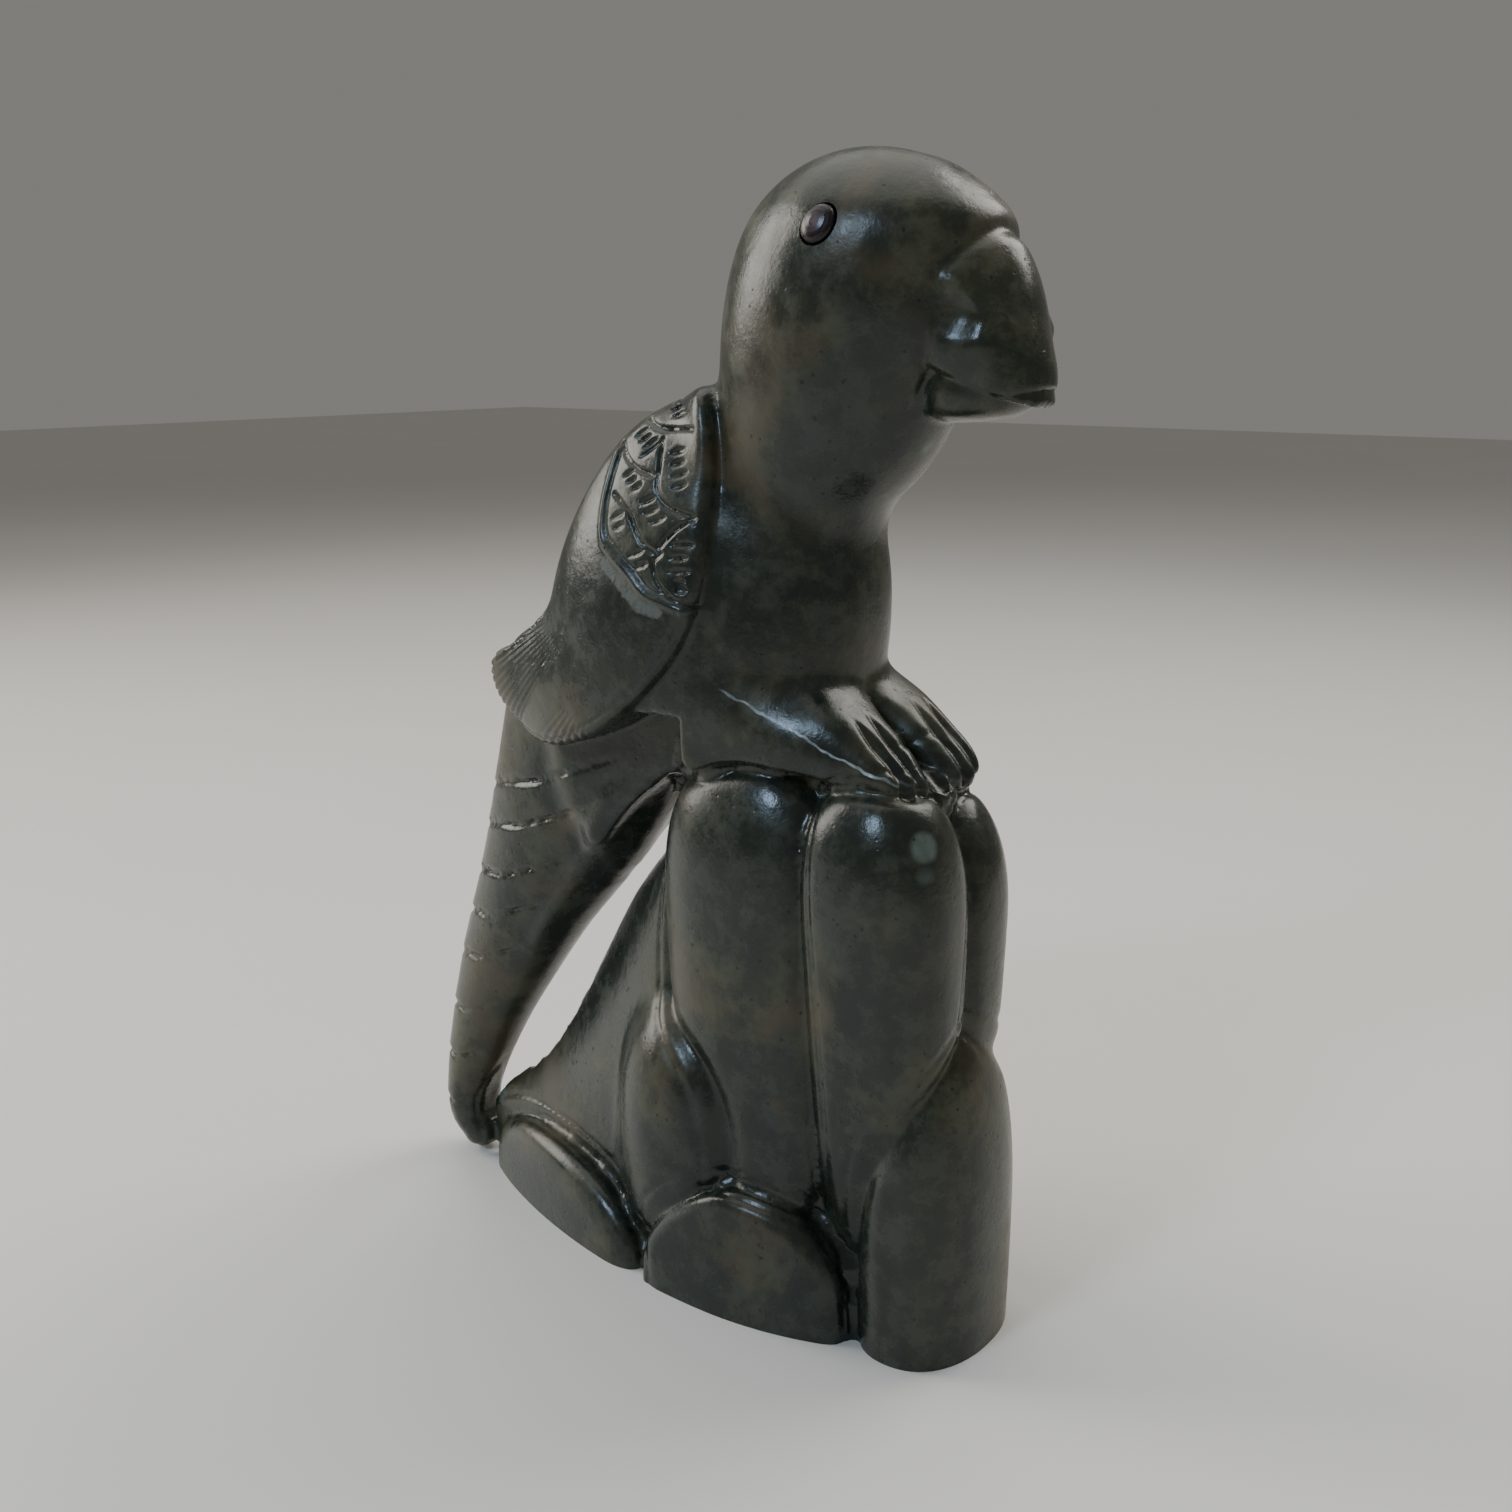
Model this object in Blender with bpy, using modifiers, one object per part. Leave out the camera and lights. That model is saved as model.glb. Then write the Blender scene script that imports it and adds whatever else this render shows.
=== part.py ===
# Parrot on a rock, carved from one block of dark green stone, with two inlaid oval eyes.
#
# The bird faces -Y, its left side is +X and up is +Z. The origin is on the table, in the
# middle of the carving's box. The pose and the carving are free form, so they are written as
# (side, ahead, up) in parts of the carving's height; a part is one millimetre at real size.

import math

import bmesh
import bpy
import numpy as np
from mathutils import Matrix, Vector

# Driving sizes in metres
CARVING_HEIGHT = 0.208
EYE_LENGTH = 0.0064
EYE_WIDTH = 0.0056
EYE_GIRDLE = 0.0024
EYE_DOME = 0.0012
EYE_GAP = 0.0003

# The height is divided into this many parts
PARTS_IN_HEIGHT = 208.0
PART = CARVING_HEIGHT / PARTS_IN_HEIGHT

# Fineness of the mesh, in parts, and the number of triangles that are kept
BAR = 2.5
VOXEL = 1.15
TRIANGLES_KEPT = 9100
# A vertex may move this many voxels to the form, and stand this many out of its neighbours' middle
MOST_MOVE, FARTHEST_OUT = 1.2, 0.45
SPLINE_STEPS = 4
# Farther than this from a form, in parts, only a rough distance is worked out
NEAR = 10.0

# An edge bent by more than this many degrees is drawn sharp
SHARP_ANGLE = 50.0
# Stone and eye colours, and their surface
STONE_COLOUR = (0.035, 0.045, 0.035, 1.0)
STONE_ROUGHNESS = 0.3
GARNET_COLOUR = (0.09, 0.012, 0.03, 1.0)
GARNET_ROUGHNESS = 0.08


def spot(side, ahead, up):
    """A place on the carving as x, y, z, all in parts."""
    return np.array([side, -ahead, up], float)


def mirrored(points):
    """The points folded onto the bird's right side."""
    folded = points.copy()
    folded[:, 0] = -np.abs(folded[:, 0])
    return folded


def blend(first, second, radius):
    """The union of two forms, with a fillet of about this radius in the crease."""
    share = np.clip(0.5 + 0.5 * (second - first) / radius, 0.0, 1.0)
    return second + (first - second) * share - radius * share * (1.0 - share)


def trim(first, second, radius):
    """What two forms have in common, with its edge rounded off."""
    return -blend(-first, -second, radius)


def near_box(points, low, high, form):
    """The form's value near a box that holds it. Elsewhere it is the distance to the box."""
    found = np.linalg.norm(np.maximum(np.maximum(low - points, points - high), 0.0), axis=1)
    near = found < NEAR
    found[near] = form(points[near])
    return found


def egg(points, centre, radii, lean=0.0, turn=0.0, roll=0.0, power=2.0, below=1.0):
    """How far points are outside an egg, whose lower half is below times as high as the upper.

    Its top leans forward, it turns to the left and its top rolls to the left, in degrees.
    """
    axes = (
        Matrix.Rotation(math.radians(turn), 3, "Z")
        @ Matrix.Rotation(math.radians(lean), 3, "X")
        @ Matrix.Rotation(math.radians(roll), 3, "Y")
    )
    high = np.array(radii, float)
    low = high * (1.0, 1.0, below)

    def value(local):
        sizes = np.where(local < 0, low, high)
        local = np.maximum(np.abs(local) / sizes, 1e-6)
        reach = (local**power).sum(axis=1) ** (1.0 / power)
        slope = np.linalg.norm((local / reach[:, None]) ** (power - 1.0) / sizes, axis=1)
        return (reach - 1.0) / slope

    return near_box((points - spot(*centre)) @ np.array(axes), -low, high, value)


def smooth_line(stations, steps=SPLINE_STEPS, closed=False):
    """Points on a smooth curve through the stations, whatever numbers each station holds."""
    knots = np.array(stations, float)
    if closed:
        knots = np.vstack([knots[-1], knots, knots[:2]])
    else:
        knots = np.vstack([2 * knots[0] - knots[1], knots, 2 * knots[-1] - knots[-2]])
    made = []
    for before, start, end, after in zip(knots, knots[1:], knots[2:], knots[3:]):
        for t in np.arange(steps) / steps:
            made.append(
                0.5
                * (
                    2 * start
                    + (end - before) * t
                    + (2 * before - 5 * start + 4 * end - after) * t**2
                    + (3 * start - before - 3 * end + after) * t**3
                )
            )
    if not closed:
        made.append(knots[-2])
    return np.array(made)


def side_view(points):
    """The points' (ahead, up)."""
    return np.stack([-points[:, 1], points[:, 2]], axis=1)


def limb(points, stations, steps=SPLINE_STEPS):
    """A limb in the bird's middle plane. A station is (ahead, up, half depth, half width)."""
    line = smooth_line(stations, steps)
    nearest = np.full(len(points), np.inf)
    found = np.full(len(points), np.inf)
    flat = side_view(points)
    for start, end in zip(line, line[1:]):
        along = end[:2] - start[:2]
        t = np.clip((flat - start[:2]) @ along / (along @ along), 0.0, 1.0)
        away = np.linalg.norm(flat - start[:2] - t[:, None] * along, axis=1)
        sizes = start[2:] + t[:, None] * (end[2:] - start[2:])
        reach = np.hypot(away / sizes[:, 0], points[:, 0] / sizes[:, 1])
        slope = np.hypot(away / sizes[:, 0] ** 2, points[:, 0] / sizes[:, 1] ** 2)
        value = (reach - 1.0) * np.maximum(reach, 1e-6) / np.maximum(slope, 1e-6)
        closer = away < nearest
        nearest = np.where(closer, away, nearest)
        found = np.where(closer, value, found)
    return found


def outline(points, corners, closed=True):
    """Distance from the side view of the points to an outline, less than nothing inside it."""
    line = smooth_line(corners, closed=closed)
    flat = side_view(points)
    nearest = np.full(len(points), np.inf)
    inside = np.zeros(len(points), bool)
    for start, end in zip(line, np.roll(line, -1, axis=0)):
        along = end - start
        t = np.clip((flat - start) @ along / (along @ along), 0.0, 1.0)
        nearest = np.minimum(nearest, np.linalg.norm(flat - start - t[:, None] * along, axis=1))
        crosses = (start[1] > flat[:, 1]) != (end[1] > flat[:, 1])
        rise = np.where(crosses, along[1], 1.0)
        inside ^= crosses & (flat[:, 0] < start[0] + (flat[:, 1] - start[1]) * along[0] / rise)
    return np.where(inside, -nearest, nearest)


# The rock

# Footprint: its two tips, where it is widest, and half its width there
FOOT_BACK, FOOT_WIDEST, FOOT_FRONT, FOOT_HALF_WIDTH = -66.0, 14.0, 66.0, 22.7
# The rock's back edge climbs forward from the foot to under the bird: (up, ahead)
BACK_EDGE = ((-5.0, -66.0), (12.0, -66.0), (17.5, -61.5), (21.0, -56.0), (29.6, -46.0), (38.0, -39.5), (48.0, -33.0),
             (67.5, -21.5), (75.0, -16.0), (88.0, -6.5), (120.0, 6.0))
# How far the rock's middle lies inside the wall of its foot, and where it ends in front
CORE_INSET, CORE_FRONT = 7.0, 53.0
# Boulders: centre, radii, lean, turn, roll, power, and lower height for each upper
BOULDERS = (
    ((-8.6, 44.0, 80.0), (12.6, 15.2, 26.0), 2.0, 0.0, -5.0, 2.4, 3.0),
    ((6.0, 43.4, 77.0), (12.8, 15.6, 25.5), 0.0, 0.0, 3.5, 2.3, 3.2),
    ((-8.5, 19.5, 80.0), (13.4, 20.0, 28.0), 0.0, 0.0, -1.5, 2.4, 2.8),
    ((8.8, 17.5, 78.0), (12.8, 15.5, 28.0), 0.0, 0.0, 1.5, 2.4, 2.8),
    ((0.0, 51.8, 24.0), (17.0, 11.8, 39.0), 0.0, 0.0, 0.0, 2.25, 2.2),
)
# The two boulders that swell softly out of the rock's middle
SOFT_BOULDERS = (
    ((-11.5, 5.0, 35.0), (11.8, 15.0, 20.0), 4.0, 0.0, -4.0, 2.2, 1.8),
    ((10.5, 2.0, 33.0), (11.8, 15.0, 19.5), 4.0, 0.0, 4.0, 2.2, 1.7),
)
# Arches leave low boulders standing in the foot's wall: (ahead, half length behind, in front, top)
LOW_ARCHES = ((22.0, 25.0, 21.0, 25.8), (-35.0, 29.0, 31.5, 17.5))
ARCH_POWER = 2.1
# Fillets in the creases, in parts: a fine one, and one for the boulders that swell softly
CREASE = 1.2
SOFT_CREASE = 7.0


def footprint(points, back, inset):
    """Distance outside a pointed oval wall that reaches this far back at each point."""
    ahead = -points[:, 1] - FOOT_WIDEST
    half = FOOT_HALF_WIDTH - inset
    length = np.where(ahead < 0, FOOT_WIDEST - back, FOOT_FRONT - inset - FOOT_WIDEST)
    arc = (length**2 + half**2) / (2 * half)
    return np.hypot(ahead, np.abs(points[:, 0]) + arc - half) - arc


def low_arch(points, middle, behind, in_front, top):
    """A boulder at the foot: the wall where an arch leaves it standing proud."""
    ahead = -points[:, 1] - middle
    across = np.abs(ahead) / np.where(ahead < 0, behind, in_front)
    above = np.maximum(points[:, 2], 0.0) / top
    reach = np.maximum((across**ARCH_POWER + above**ARCH_POWER) ** (1 / ARCH_POWER), 1e-6)
    arch = (reach - 1.0) * min(behind, top)
    return trim(footprint(points, FOOT_BACK, 0.0), arch, 5.0)


def rock(points):
    core = 0.85 * footprint(points, np.interp(points[:, 2], *np.array(BACK_EDGE).T), CORE_INSET)
    core = trim(core, points[:, 2] - 108.0, 6.0)
    core = trim(core, -points[:, 1] - CORE_FRONT, 4.0)
    form = core
    for boulder in SOFT_BOULDERS:
        form = blend(form, egg(points, *boulder), SOFT_CREASE)
    for arch in LOW_ARCHES:
        form = blend(form, low_arch(points, *arch), CREASE)
    for boulder in BOULDERS:
        form = blend(form, egg(points, *boulder), CREASE)
    return form


# The bird

# Stations along the middle of the tail and of the beak: (ahead, up, half depth, half width)
TAIL = ((-28, 104, 23.5, 12), (-37, 84, 19, 12), (-46.5, 66, 14, 11), (-55, 50, 11.2, 9.5),
        (-62, 35, 8.6, 8), (-67.5, 20, 6.4, 6.5), (-68.8, 10, 5.2, 6), (-66, 5, 4.6, 5))
BEAK = ((43, 193, 12.6, 13.6), (51, 184, 13.3, 12.6), (56.5, 176, 11, 11.3), (60, 171, 8.6, 9),
        (61, 168, 7, 7.5))
# The line of the mouth falls forward. The lower jaw is a flat egg under it, cut level at the bottom
MOUTH_HEIGHT, MOUTH_SLOPE, BEAK_BOTTOM = 194.0, 0.4, 166.0
JAW = ((0.0, 57.0, 171.0), (9.6, 10.0, 7.0), 0.0, 0.0, 0.0, 3.0)
WING_OUTLINE = ((9.5, 169.5), (13.5, 163), (15.2, 151), (15.2, 139), (11.5, 127), (2.5, 116.5), (-9.5, 108),
                (-24, 103), (-37, 104.5), (-44, 110), (-45.5, 117), (-38, 121), (-30, 129), (-22, 143),
                (-9.5, 161), (2, 168.5))
WING_THICKNESS = 3.0
# The bird's underside is hollowed by this round saddle, which the boulders' tops fill
SADDLE = ((0, 27, 53), (60, 55, 55))
# Behind this edge and below the wing, the body is cut back to the width of the tail
RECESS_AHEAD, RECESS_TOP, RECESS_HALF_WIDTH = 9.0, 113.0, 12.0
# A foot is one broad egg: centre, radii and lean
FOOT = ((-8.0, 39.4, 109.1), (7.8, 14.0, 5.0), 36.0)
# Cuts between the toes: across the foot, half width, depth, and how far down the foot they start
TOE_CUTS = ((0.0, 2.1, 3.6, -9.0), (-7.2, 1.1, 1.3, -5.0), (-11.2, 1.1, 1.3, -5.0))
# The eyes' place on the head (ahead, up), and how far their long axis tips forward, in degrees
EYE_AT = (37.0, 195.3)
EYE_TILT = 30.0


def tail(points):
    return near_box(points, spot(-12, 0, 0), spot(12, -76, 112), lambda near: limb(near, TAIL))


def body(points):
    torso = egg(points, (0, 2, 120), (21.5, 32, 48), lean=11.6, power=2.4)
    thigh = egg(points, (-7, 22, 112), (12.5, 21.5, 9.5), lean=20, power=2.5)
    torso = blend(torso, thigh, 4.0)
    torso = trim(torso, -egg(points, *SADDLE), 3.0)
    recess = np.maximum(-points[:, 1] - RECESS_AHEAD, points[:, 2] - RECESS_TOP)
    torso = trim(torso, -np.maximum(recess, RECESS_HALF_WIDTH + points[:, 0]), 1.5)
    neck = egg(points, (0, 28, 170), (19, 20.5, 22), lean=8)
    return blend(blend(head(points), neck, 8.0), torso, 9.0)


def head(points):
    brow = egg(points, (0, 41, 193.5), (16.5, 18.2, 9.5))
    return blend(egg(points, (0, 34, 185.5), (21, 24, 22.5)), brow, 6.0)


def beak(points):
    bill = near_box(points, spot(-13, 75, 160), spot(13, 31, 204), lambda near: limb(near, BEAK, 12))
    mouth = MOUTH_HEIGHT + MOUTH_SLOPE * points[:, 1] - points[:, 2]
    jaw = trim(egg(points, *JAW), BEAK_BOTTOM - points[:, 2], 1.5)
    return blend(trim(bill, mouth, 1.2), jaw, 0.8)


def wing(points):
    shell = egg(points, (0, 2, 120), (21.5, 32, 48), lean=11.6, power=2.4)
    shoulder = egg(points, (0, 26, 168), (19, 21, 24), lean=8)
    shell = blend(shell, shoulder, 5.0) - WING_THICKNESS
    tip = egg(points, (-10.5, -27, 113), (8, 21, 12), lean=12, turn=-6, power=2.3)
    return trim(blend(shell, tip, 8.0), outline(points, WING_OUTLINE), 3.0)


def feet(points):
    centre, radii, lean = FOOT
    return egg(points, centre, radii, lean=lean, power=3.0)


def bird(half):
    form = blend(body(half), tail(half), 5.0)
    form = blend(form, beak(half), 1.5)
    form = blend(form, near_box(half, spot(-17, 56, 96), spot(0, 30, 124), feet), 4.0)
    return blend(form, near_box(half, spot(-28, 24, 98), spot(0, -52, 175), wing), 1.0)


# The carving that shows from a step away

# The tail's bands: the height of each above a slanting line, the slant, and how each dips at the back
TAIL_BANDS = (106.0, 97.8, 88.3, 80.0, 71.3, 59.6, 48.6, 37.5)
BAND_SLANT, BAND_DIP = 0.37, 2.0
# The curved cut under each big feather of the wing, and the bead round the feathers, as (ahead, up)
FEATHER_EDGES = (
    ((-2.0, 164.0), (1.5, 162.8), (6.0, 162.7), (10.0, 162.8)),
    ((-6.5, 160.0), (-4.5, 158.0), (-1.0, 156.0), (3.4, 155.0)),
    ((3.4, 160.0), (4.2, 156.5), (5.0, 152.5), (8.0, 149.8), (13.2, 148.4)),
    ((-5.0, 151.4), (-1.0, 148.7), (1.2, 146.0), (3.4, 143.4), (6.0, 142.2)),
    ((7.0, 143.2), (9.6, 146.0), (12.8, 148.2)),
    ((7.4, 142.2), (5.8, 140.4), (7.0, 137.2), (9.8, 134.8)),
)
PATCH_RIM = ((-7.2, 158.5), (-7.6, 150.0), (-6.8, 144.0), (-4.0, 141.4), (0.4, 138.4), (4.3, 135.2),
             (9.0, 133.8), (14.0, 132.4))
# The fine line inside the wing's edge
RIM_INSET = 2.1
# Width and depth of the cuts, in parts
BAND_CUT = (0.8, 0.6)
FEATHER_CUT = (0.7, 0.5)
BEAD = (0.9, 0.5)
RIM_CUT = (0.6, 0.3)
SEAM_WIDTH = 0.9


def bell(away, width):
    """One on a line, and nearly nothing twice this width away from it."""
    return np.exp(-((away / width) ** 2))


def ramp(value, start, end):
    """Smoothly from 0 at start to 1 at end."""
    t = np.clip((value - start) / (end - start), 0.0, 1.0)
    return t * t * (3.0 - 2.0 * t)


def gap(places, line):
    """Distance from places to a line of points, in as many directions as the line has."""
    nearest = np.full(len(places), np.inf)
    for start, end in zip(line, line[1:]):
        along = end - start
        t = np.clip((places - start) @ along / (along @ along), 0.0, 1.0)
        nearest = np.minimum(nearest, np.linalg.norm(places - start - t[:, None] * along, axis=1))
    return nearest


def groove(places, line, width, depth):
    """The height along a line: a cut where depth is more than nothing, and a rib where it is less."""
    height = np.zeros(len(places))
    low, high = line.min(axis=0) - 3 * width, line.max(axis=0) + 3 * width
    near = np.all((places > low) & (places < high), axis=1)
    height[near] = -depth * bell(gap(places[near], line), width)
    return height


def wing_detail(half):
    flat = side_view(half)
    edge = outline(half, WING_OUTLINE)
    height = groove(flat, smooth_line(PATCH_RIM), BEAD[0], -BEAD[1])
    for feather in FEATHER_EDGES:
        height += groove(flat, smooth_line(feather), *FEATHER_CUT)
    height -= RIM_CUT[1] * bell(edge + RIM_INSET, RIM_CUT[0])
    return height * (1.0 - ramp(edge, -0.6, 0.6))


def tail_detail(half):
    flat = side_view(half)
    line = smooth_line(TAIL)
    nearest = np.full(len(flat), np.inf)
    across = np.zeros(len(flat))
    for start, end in zip(line, line[1:]):
        along = (end - start)[:2]
        t = np.clip((flat - start[:2]) @ along / (along @ along), 0.0, 1.0)
        offset = flat - start[:2] - t[:, None] * along
        away = np.linalg.norm(offset, axis=1)
        forward = offset @ (-along[1], along[0]) / np.linalg.norm(along)
        closer = away < nearest
        nearest = np.where(closer, away, nearest)
        across = np.where(closer, forward / (start[2] + t * (end[2] - start[2])), across)
    level = flat[:, 1] - BAND_SLANT * flat[:, 0] - BAND_DIP * ramp(-across, 0.05, 0.6)
    height = -sum(BAND_CUT[1] * bell(level - band, BAND_CUT[0]) for band in TAIL_BANDS)
    return height * (1.0 - ramp(across, 0.3, 0.7))


def face_detail(half):
    seam = beak(half) - head(half)
    depth = 0.2 * ramp(half[:, 2], 164.0, 168.0) + 0.8 * ramp(half[:, 2], 186.0, 192.0)
    return -depth * bell(seam, SEAM_WIDTH)


def toe_detail(half):
    centre, _, lean = FOOT
    slope = math.radians(lean)
    ahead, up = -half[:, 1] - centre[1], half[:, 2] - centre[2]
    down = ahead * math.cos(slope) - up * math.sin(slope)
    above = ahead * math.sin(slope) + up * math.cos(slope)
    height = np.zeros(len(half))
    for across, width, depth, start in TOE_CUTS:
        length = ramp(down, start, start + 8.0) * (1.0 - ramp(down, 12.5, 14.5))
        height -= depth * length * bell(half[:, 0] - across, width * (0.4 + 0.6 * length))
    return height * ramp(above, -1.0, 1.5)


def stone(points):
    half = mirrored(points)
    form = blend(rock(points), bird(half), CREASE)
    skin = np.abs(form) < 3.0
    half = half[skin]
    height = np.zeros(len(half))
    for detail, low, high in (
        (wing_detail, (-28, -24, 100), (-3, 52, 172)),
        (tail_detail, (-16, 0, 0), (0.1, 80, 108)),
        (face_detail, (-16, -72, 162), (0.1, -46, 200)),
        (toe_detail, (-17, -56, 98), (0.1, -26, 126)),
    ):
        near = np.all((half > low) & (half < high), axis=1)
        height[near] += detail(half[near])
    form[skin] -= height
    return form


# From form to mesh


def slope_of(form, points, step=0.05):
    """Which way, and how steeply, the form's distance grows at each point."""
    corners = np.array([(1, -1, -1), (-1, 1, -1), (-1, -1, 1), (1, 1, 1)], float)
    return sum(corner * form(points + step * corner)[:, None] for corner in corners) / (4 * step)


def settle(form, points, rounds, most=2.0):
    """The points moved onto the form's surface, each along its own first slope and no farther than most."""
    slope = slope_of(form, points)
    steep = np.maximum(np.linalg.norm(slope, axis=1), 0.3)
    toward = slope / steep[:, None]
    moved = np.zeros(len(points))
    for _ in range(rounds):
        moved = np.clip(moved + form(points - moved[:, None] * toward) / steep, -most, most)
    return points - moved[:, None] * toward


def bar_block(form, low, high, pitch):
    """Square bars along Y wherever the form is solid, as a first rough block."""
    x, y, z = (np.arange(a, b, pitch) for a, b in zip(low, high))
    grid = np.stack(np.meshgrid(x, y, z, indexing="ij"), axis=-1)
    solid = (form(grid.reshape(-1, 3)) < -0.3 * pitch).reshape(grid.shape[:3])
    block = bmesh.new()
    for i, k in np.argwhere(solid.any(axis=1)):
        run = np.flatnonzero(np.diff(np.concatenate([[0], solid[i, :, k].astype(int), [0]])))
        for start, end in zip(run[::2], run[1::2]):
            middle = Vector((x[i], (y[start] + y[end - 1]) / 2, z[k]))
            size = Vector((1.1 * pitch, (end - start) * pitch, 1.1 * pitch))
            bmesh.ops.create_cube(block, matrix=Matrix.LocRotScale(middle, None, size))
    return block


def remeshed(obj, voxel):
    """The object's mesh fused into one skin of even squares."""
    modifier = obj.modifiers.new("Fuse", "REMESH")
    modifier.mode = "VOXEL"
    modifier.voxel_size = voxel
    fused = bpy.data.meshes.new_from_object(obj.evaluated_get(bpy.context.evaluated_depsgraph_get()))
    obj.modifiers.remove(modifier)
    obj.data = fused


def relaxed(obj, places, farthest):
    """Points that stand farther than this out of their neighbours' middle, moved back to it."""
    ends = np.empty(2 * len(obj.data.edges), int)
    obj.data.edges.foreach_get("vertices", ends)
    ends = np.concatenate([ends.reshape(-1, 2), ends.reshape(-1, 2)[:, ::-1]])
    count = np.bincount(ends[:, 0], minlength=len(places))[:, None]
    for _ in range(3):
        middle = np.stack([np.bincount(ends[:, 0], places[ends[:, 1], axis], len(places)) for axis in range(3)], axis=1)
        middle /= count
        out = np.linalg.norm(places - middle, axis=1) > farthest
        places[out] = middle[out]
    return places


def settled(obj, form, voxel):
    """Moves the object's vertices, which are about a voxel apart, onto the form."""
    places = np.empty(len(obj.data.vertices) * 3)
    obj.data.vertices.foreach_get("co", places)
    places = relaxed(obj, settle(form, places.reshape(-1, 3), 3, MOST_MOVE * voxel), FARTHEST_OUT * voxel)
    obj.data.vertices.foreach_set("co", places.ravel())
    obj.data.update()


def carve(name, form, low, high, collection):
    """One solid of stone with the form's surface."""
    block = bar_block(form, low, high, BAR)
    mesh = bpy.data.meshes.new(name)
    block.to_mesh(mesh)
    block.free()
    obj = bpy.data.objects.new(name, mesh)
    collection.objects.link(obj)
    for voxel in (1.5 * VOXEL, VOXEL):
        remeshed(obj, voxel)
        settled(obj, form, voxel)
    return obj


def fewer_triangles(obj, wanted):
    count = sum(len(face.vertices) - 2 for face in obj.data.polygons)
    modifier = obj.modifiers.new("Fewer", "DECIMATE")
    modifier.ratio = wanted / count
    modifier.use_collapse_triangulate = True
    obj.data = bpy.data.meshes.new_from_object(obj.evaluated_get(bpy.context.evaluated_depsgraph_get()))
    obj.modifiers.clear()


def cut_flat(obj, up):
    """Takes off what lies below this height and closes the cut with one flat face."""
    mesh = bmesh.new()
    mesh.from_mesh(obj.data)
    found = bmesh.ops.bisect_plane(mesh, geom=[*mesh.verts, *mesh.edges, *mesh.faces], dist=1e-4,
                                   plane_co=(0, 0, up), plane_no=(0, 0, -1), clear_outer=True)
    rim = [edge for edge in found["geom_cut"] if isinstance(edge, bmesh.types.BMEdge)]
    bmesh.ops.contextual_create(mesh, geom=rim)
    bmesh.ops.recalc_face_normals(mesh, faces=mesh.faces)
    mesh.to_mesh(obj.data)
    mesh.free()


def material(name, colour, roughness):
    made = bpy.data.materials.new(name)
    made.use_nodes = True
    shader = made.node_tree.nodes["Principled BSDF"]
    shader.inputs["Base Color"].default_value = colour
    shader.inputs["Roughness"].default_value = roughness
    made.diffuse_color = colour
    return made


def cabochon(name, length, width, depth, dome, collection):
    """An oval inlay along Z. Its edge is at 0, with a flat floor below and a dome above."""
    shape = bmesh.new()
    bmesh.ops.create_uvsphere(shape, u_segments=28, v_segments=10, radius=1.0)
    for vertex in shape.verts:
        x, y, z = vertex.co
        below = z < -0.01
        reach = math.hypot(x, y)
        grow = 1.0 / reach if below and reach > 0.9 else 1.0
        vertex.co = (x * grow * width / 2, y * grow * length / 2, -depth if below else z * dome)
    mesh = bpy.data.meshes.new(name)
    shape.to_mesh(mesh)
    shape.free()
    obj = bpy.data.objects.new(name, mesh)
    collection.objects.link(obj)
    return obj


def eye_place(hand, to_frame):
    """Where an eye sits on the head, in metres. Z points out of the head and Y along the eye."""
    seat = settle(stone, np.array([spot(hand * 20.0, *EYE_AT)]), 4)
    out = Vector(slope_of(stone, seat)[0]).normalized()
    tilt = math.radians(EYE_TILT)
    along = Vector((0, -math.sin(tilt), math.cos(tilt)))
    along = (along - along.dot(out) * out).normalized()
    turned = Matrix((along.cross(out), along, out)).transposed()
    return Matrix.Translation(to_frame @ Vector(seat[0])) @ turned.to_4x4()


def main():
    for obj in list(bpy.data.objects):
        bpy.data.objects.remove(obj)
    shown = bpy.data.collections.new("Parrot carving")
    cutters = bpy.data.collections.new("Cutters")
    bpy.context.scene.collection.children.link(shown)
    bpy.context.scene.collection.children.link(cutters)
    cutters.hide_render = True

    carving = carve("carving", stone, (-32, -76, -9), (32, 82, 214), shown)
    fewer_triangles(carving, TRIANGLES_KEPT)
    cut_flat(carving, 0.0)
    ends = [vertex.co.y for vertex in carving.data.vertices]
    to_frame = Matrix.Scale(PART, 4) @ Matrix.Translation((0, -(min(ends) + max(ends)) / 2, 0))
    carving.data.transform(to_frame)
    carving.data.materials.append(material("Dark green stone", STONE_COLOUR, STONE_ROUGHNESS))
    carving.data.shade_smooth()
    carving.data.set_sharp_from_angle(angle=math.radians(SHARP_ANGLE))

    garnet = material("Garnet", GARNET_COLOUR, GARNET_ROUGHNESS)
    for name, hand in (("eye_right", -1), ("eye_left", 1)):
        place = eye_place(hand, to_frame)
        eye = cabochon(name, EYE_LENGTH, EYE_WIDTH, EYE_GIRDLE, EYE_DOME, shown)
        eye.data.transform(place)
        eye.data.materials.append(garnet)
        eye.data.shade_smooth()
        wider = 2 * EYE_GAP
        socket = cabochon(name + "_socket", EYE_LENGTH + wider, EYE_WIDTH + wider,
                          EYE_GIRDLE + EYE_GAP, 3 * EYE_GIRDLE, cutters)
        socket.data.transform(place)
        socket.hide_render = True
        socket.display_type = "WIRE"
        cut = carving.modifiers.new(name + " socket", "BOOLEAN")
        cut.operation = "DIFFERENCE"
        cut.solver = "EXACT"
        cut.object = socket


main()
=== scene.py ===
# %% [markdown]
# # A parrot carved from one block of dark green stone
#
# The real object is about 208 mm high. A parrot sits on a rock of rounded boulders, and both are cut
# from one polished block, with two small garnet eyes let into the head. The plain solids come packed
# as a frame, in metres, with the bird facing -Y and +Z up. This script dresses them: it carves the
# feathers, the tail bands and the face into a finer mesh of the same form, and gives it its polish.

# %% The frame
import math

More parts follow.
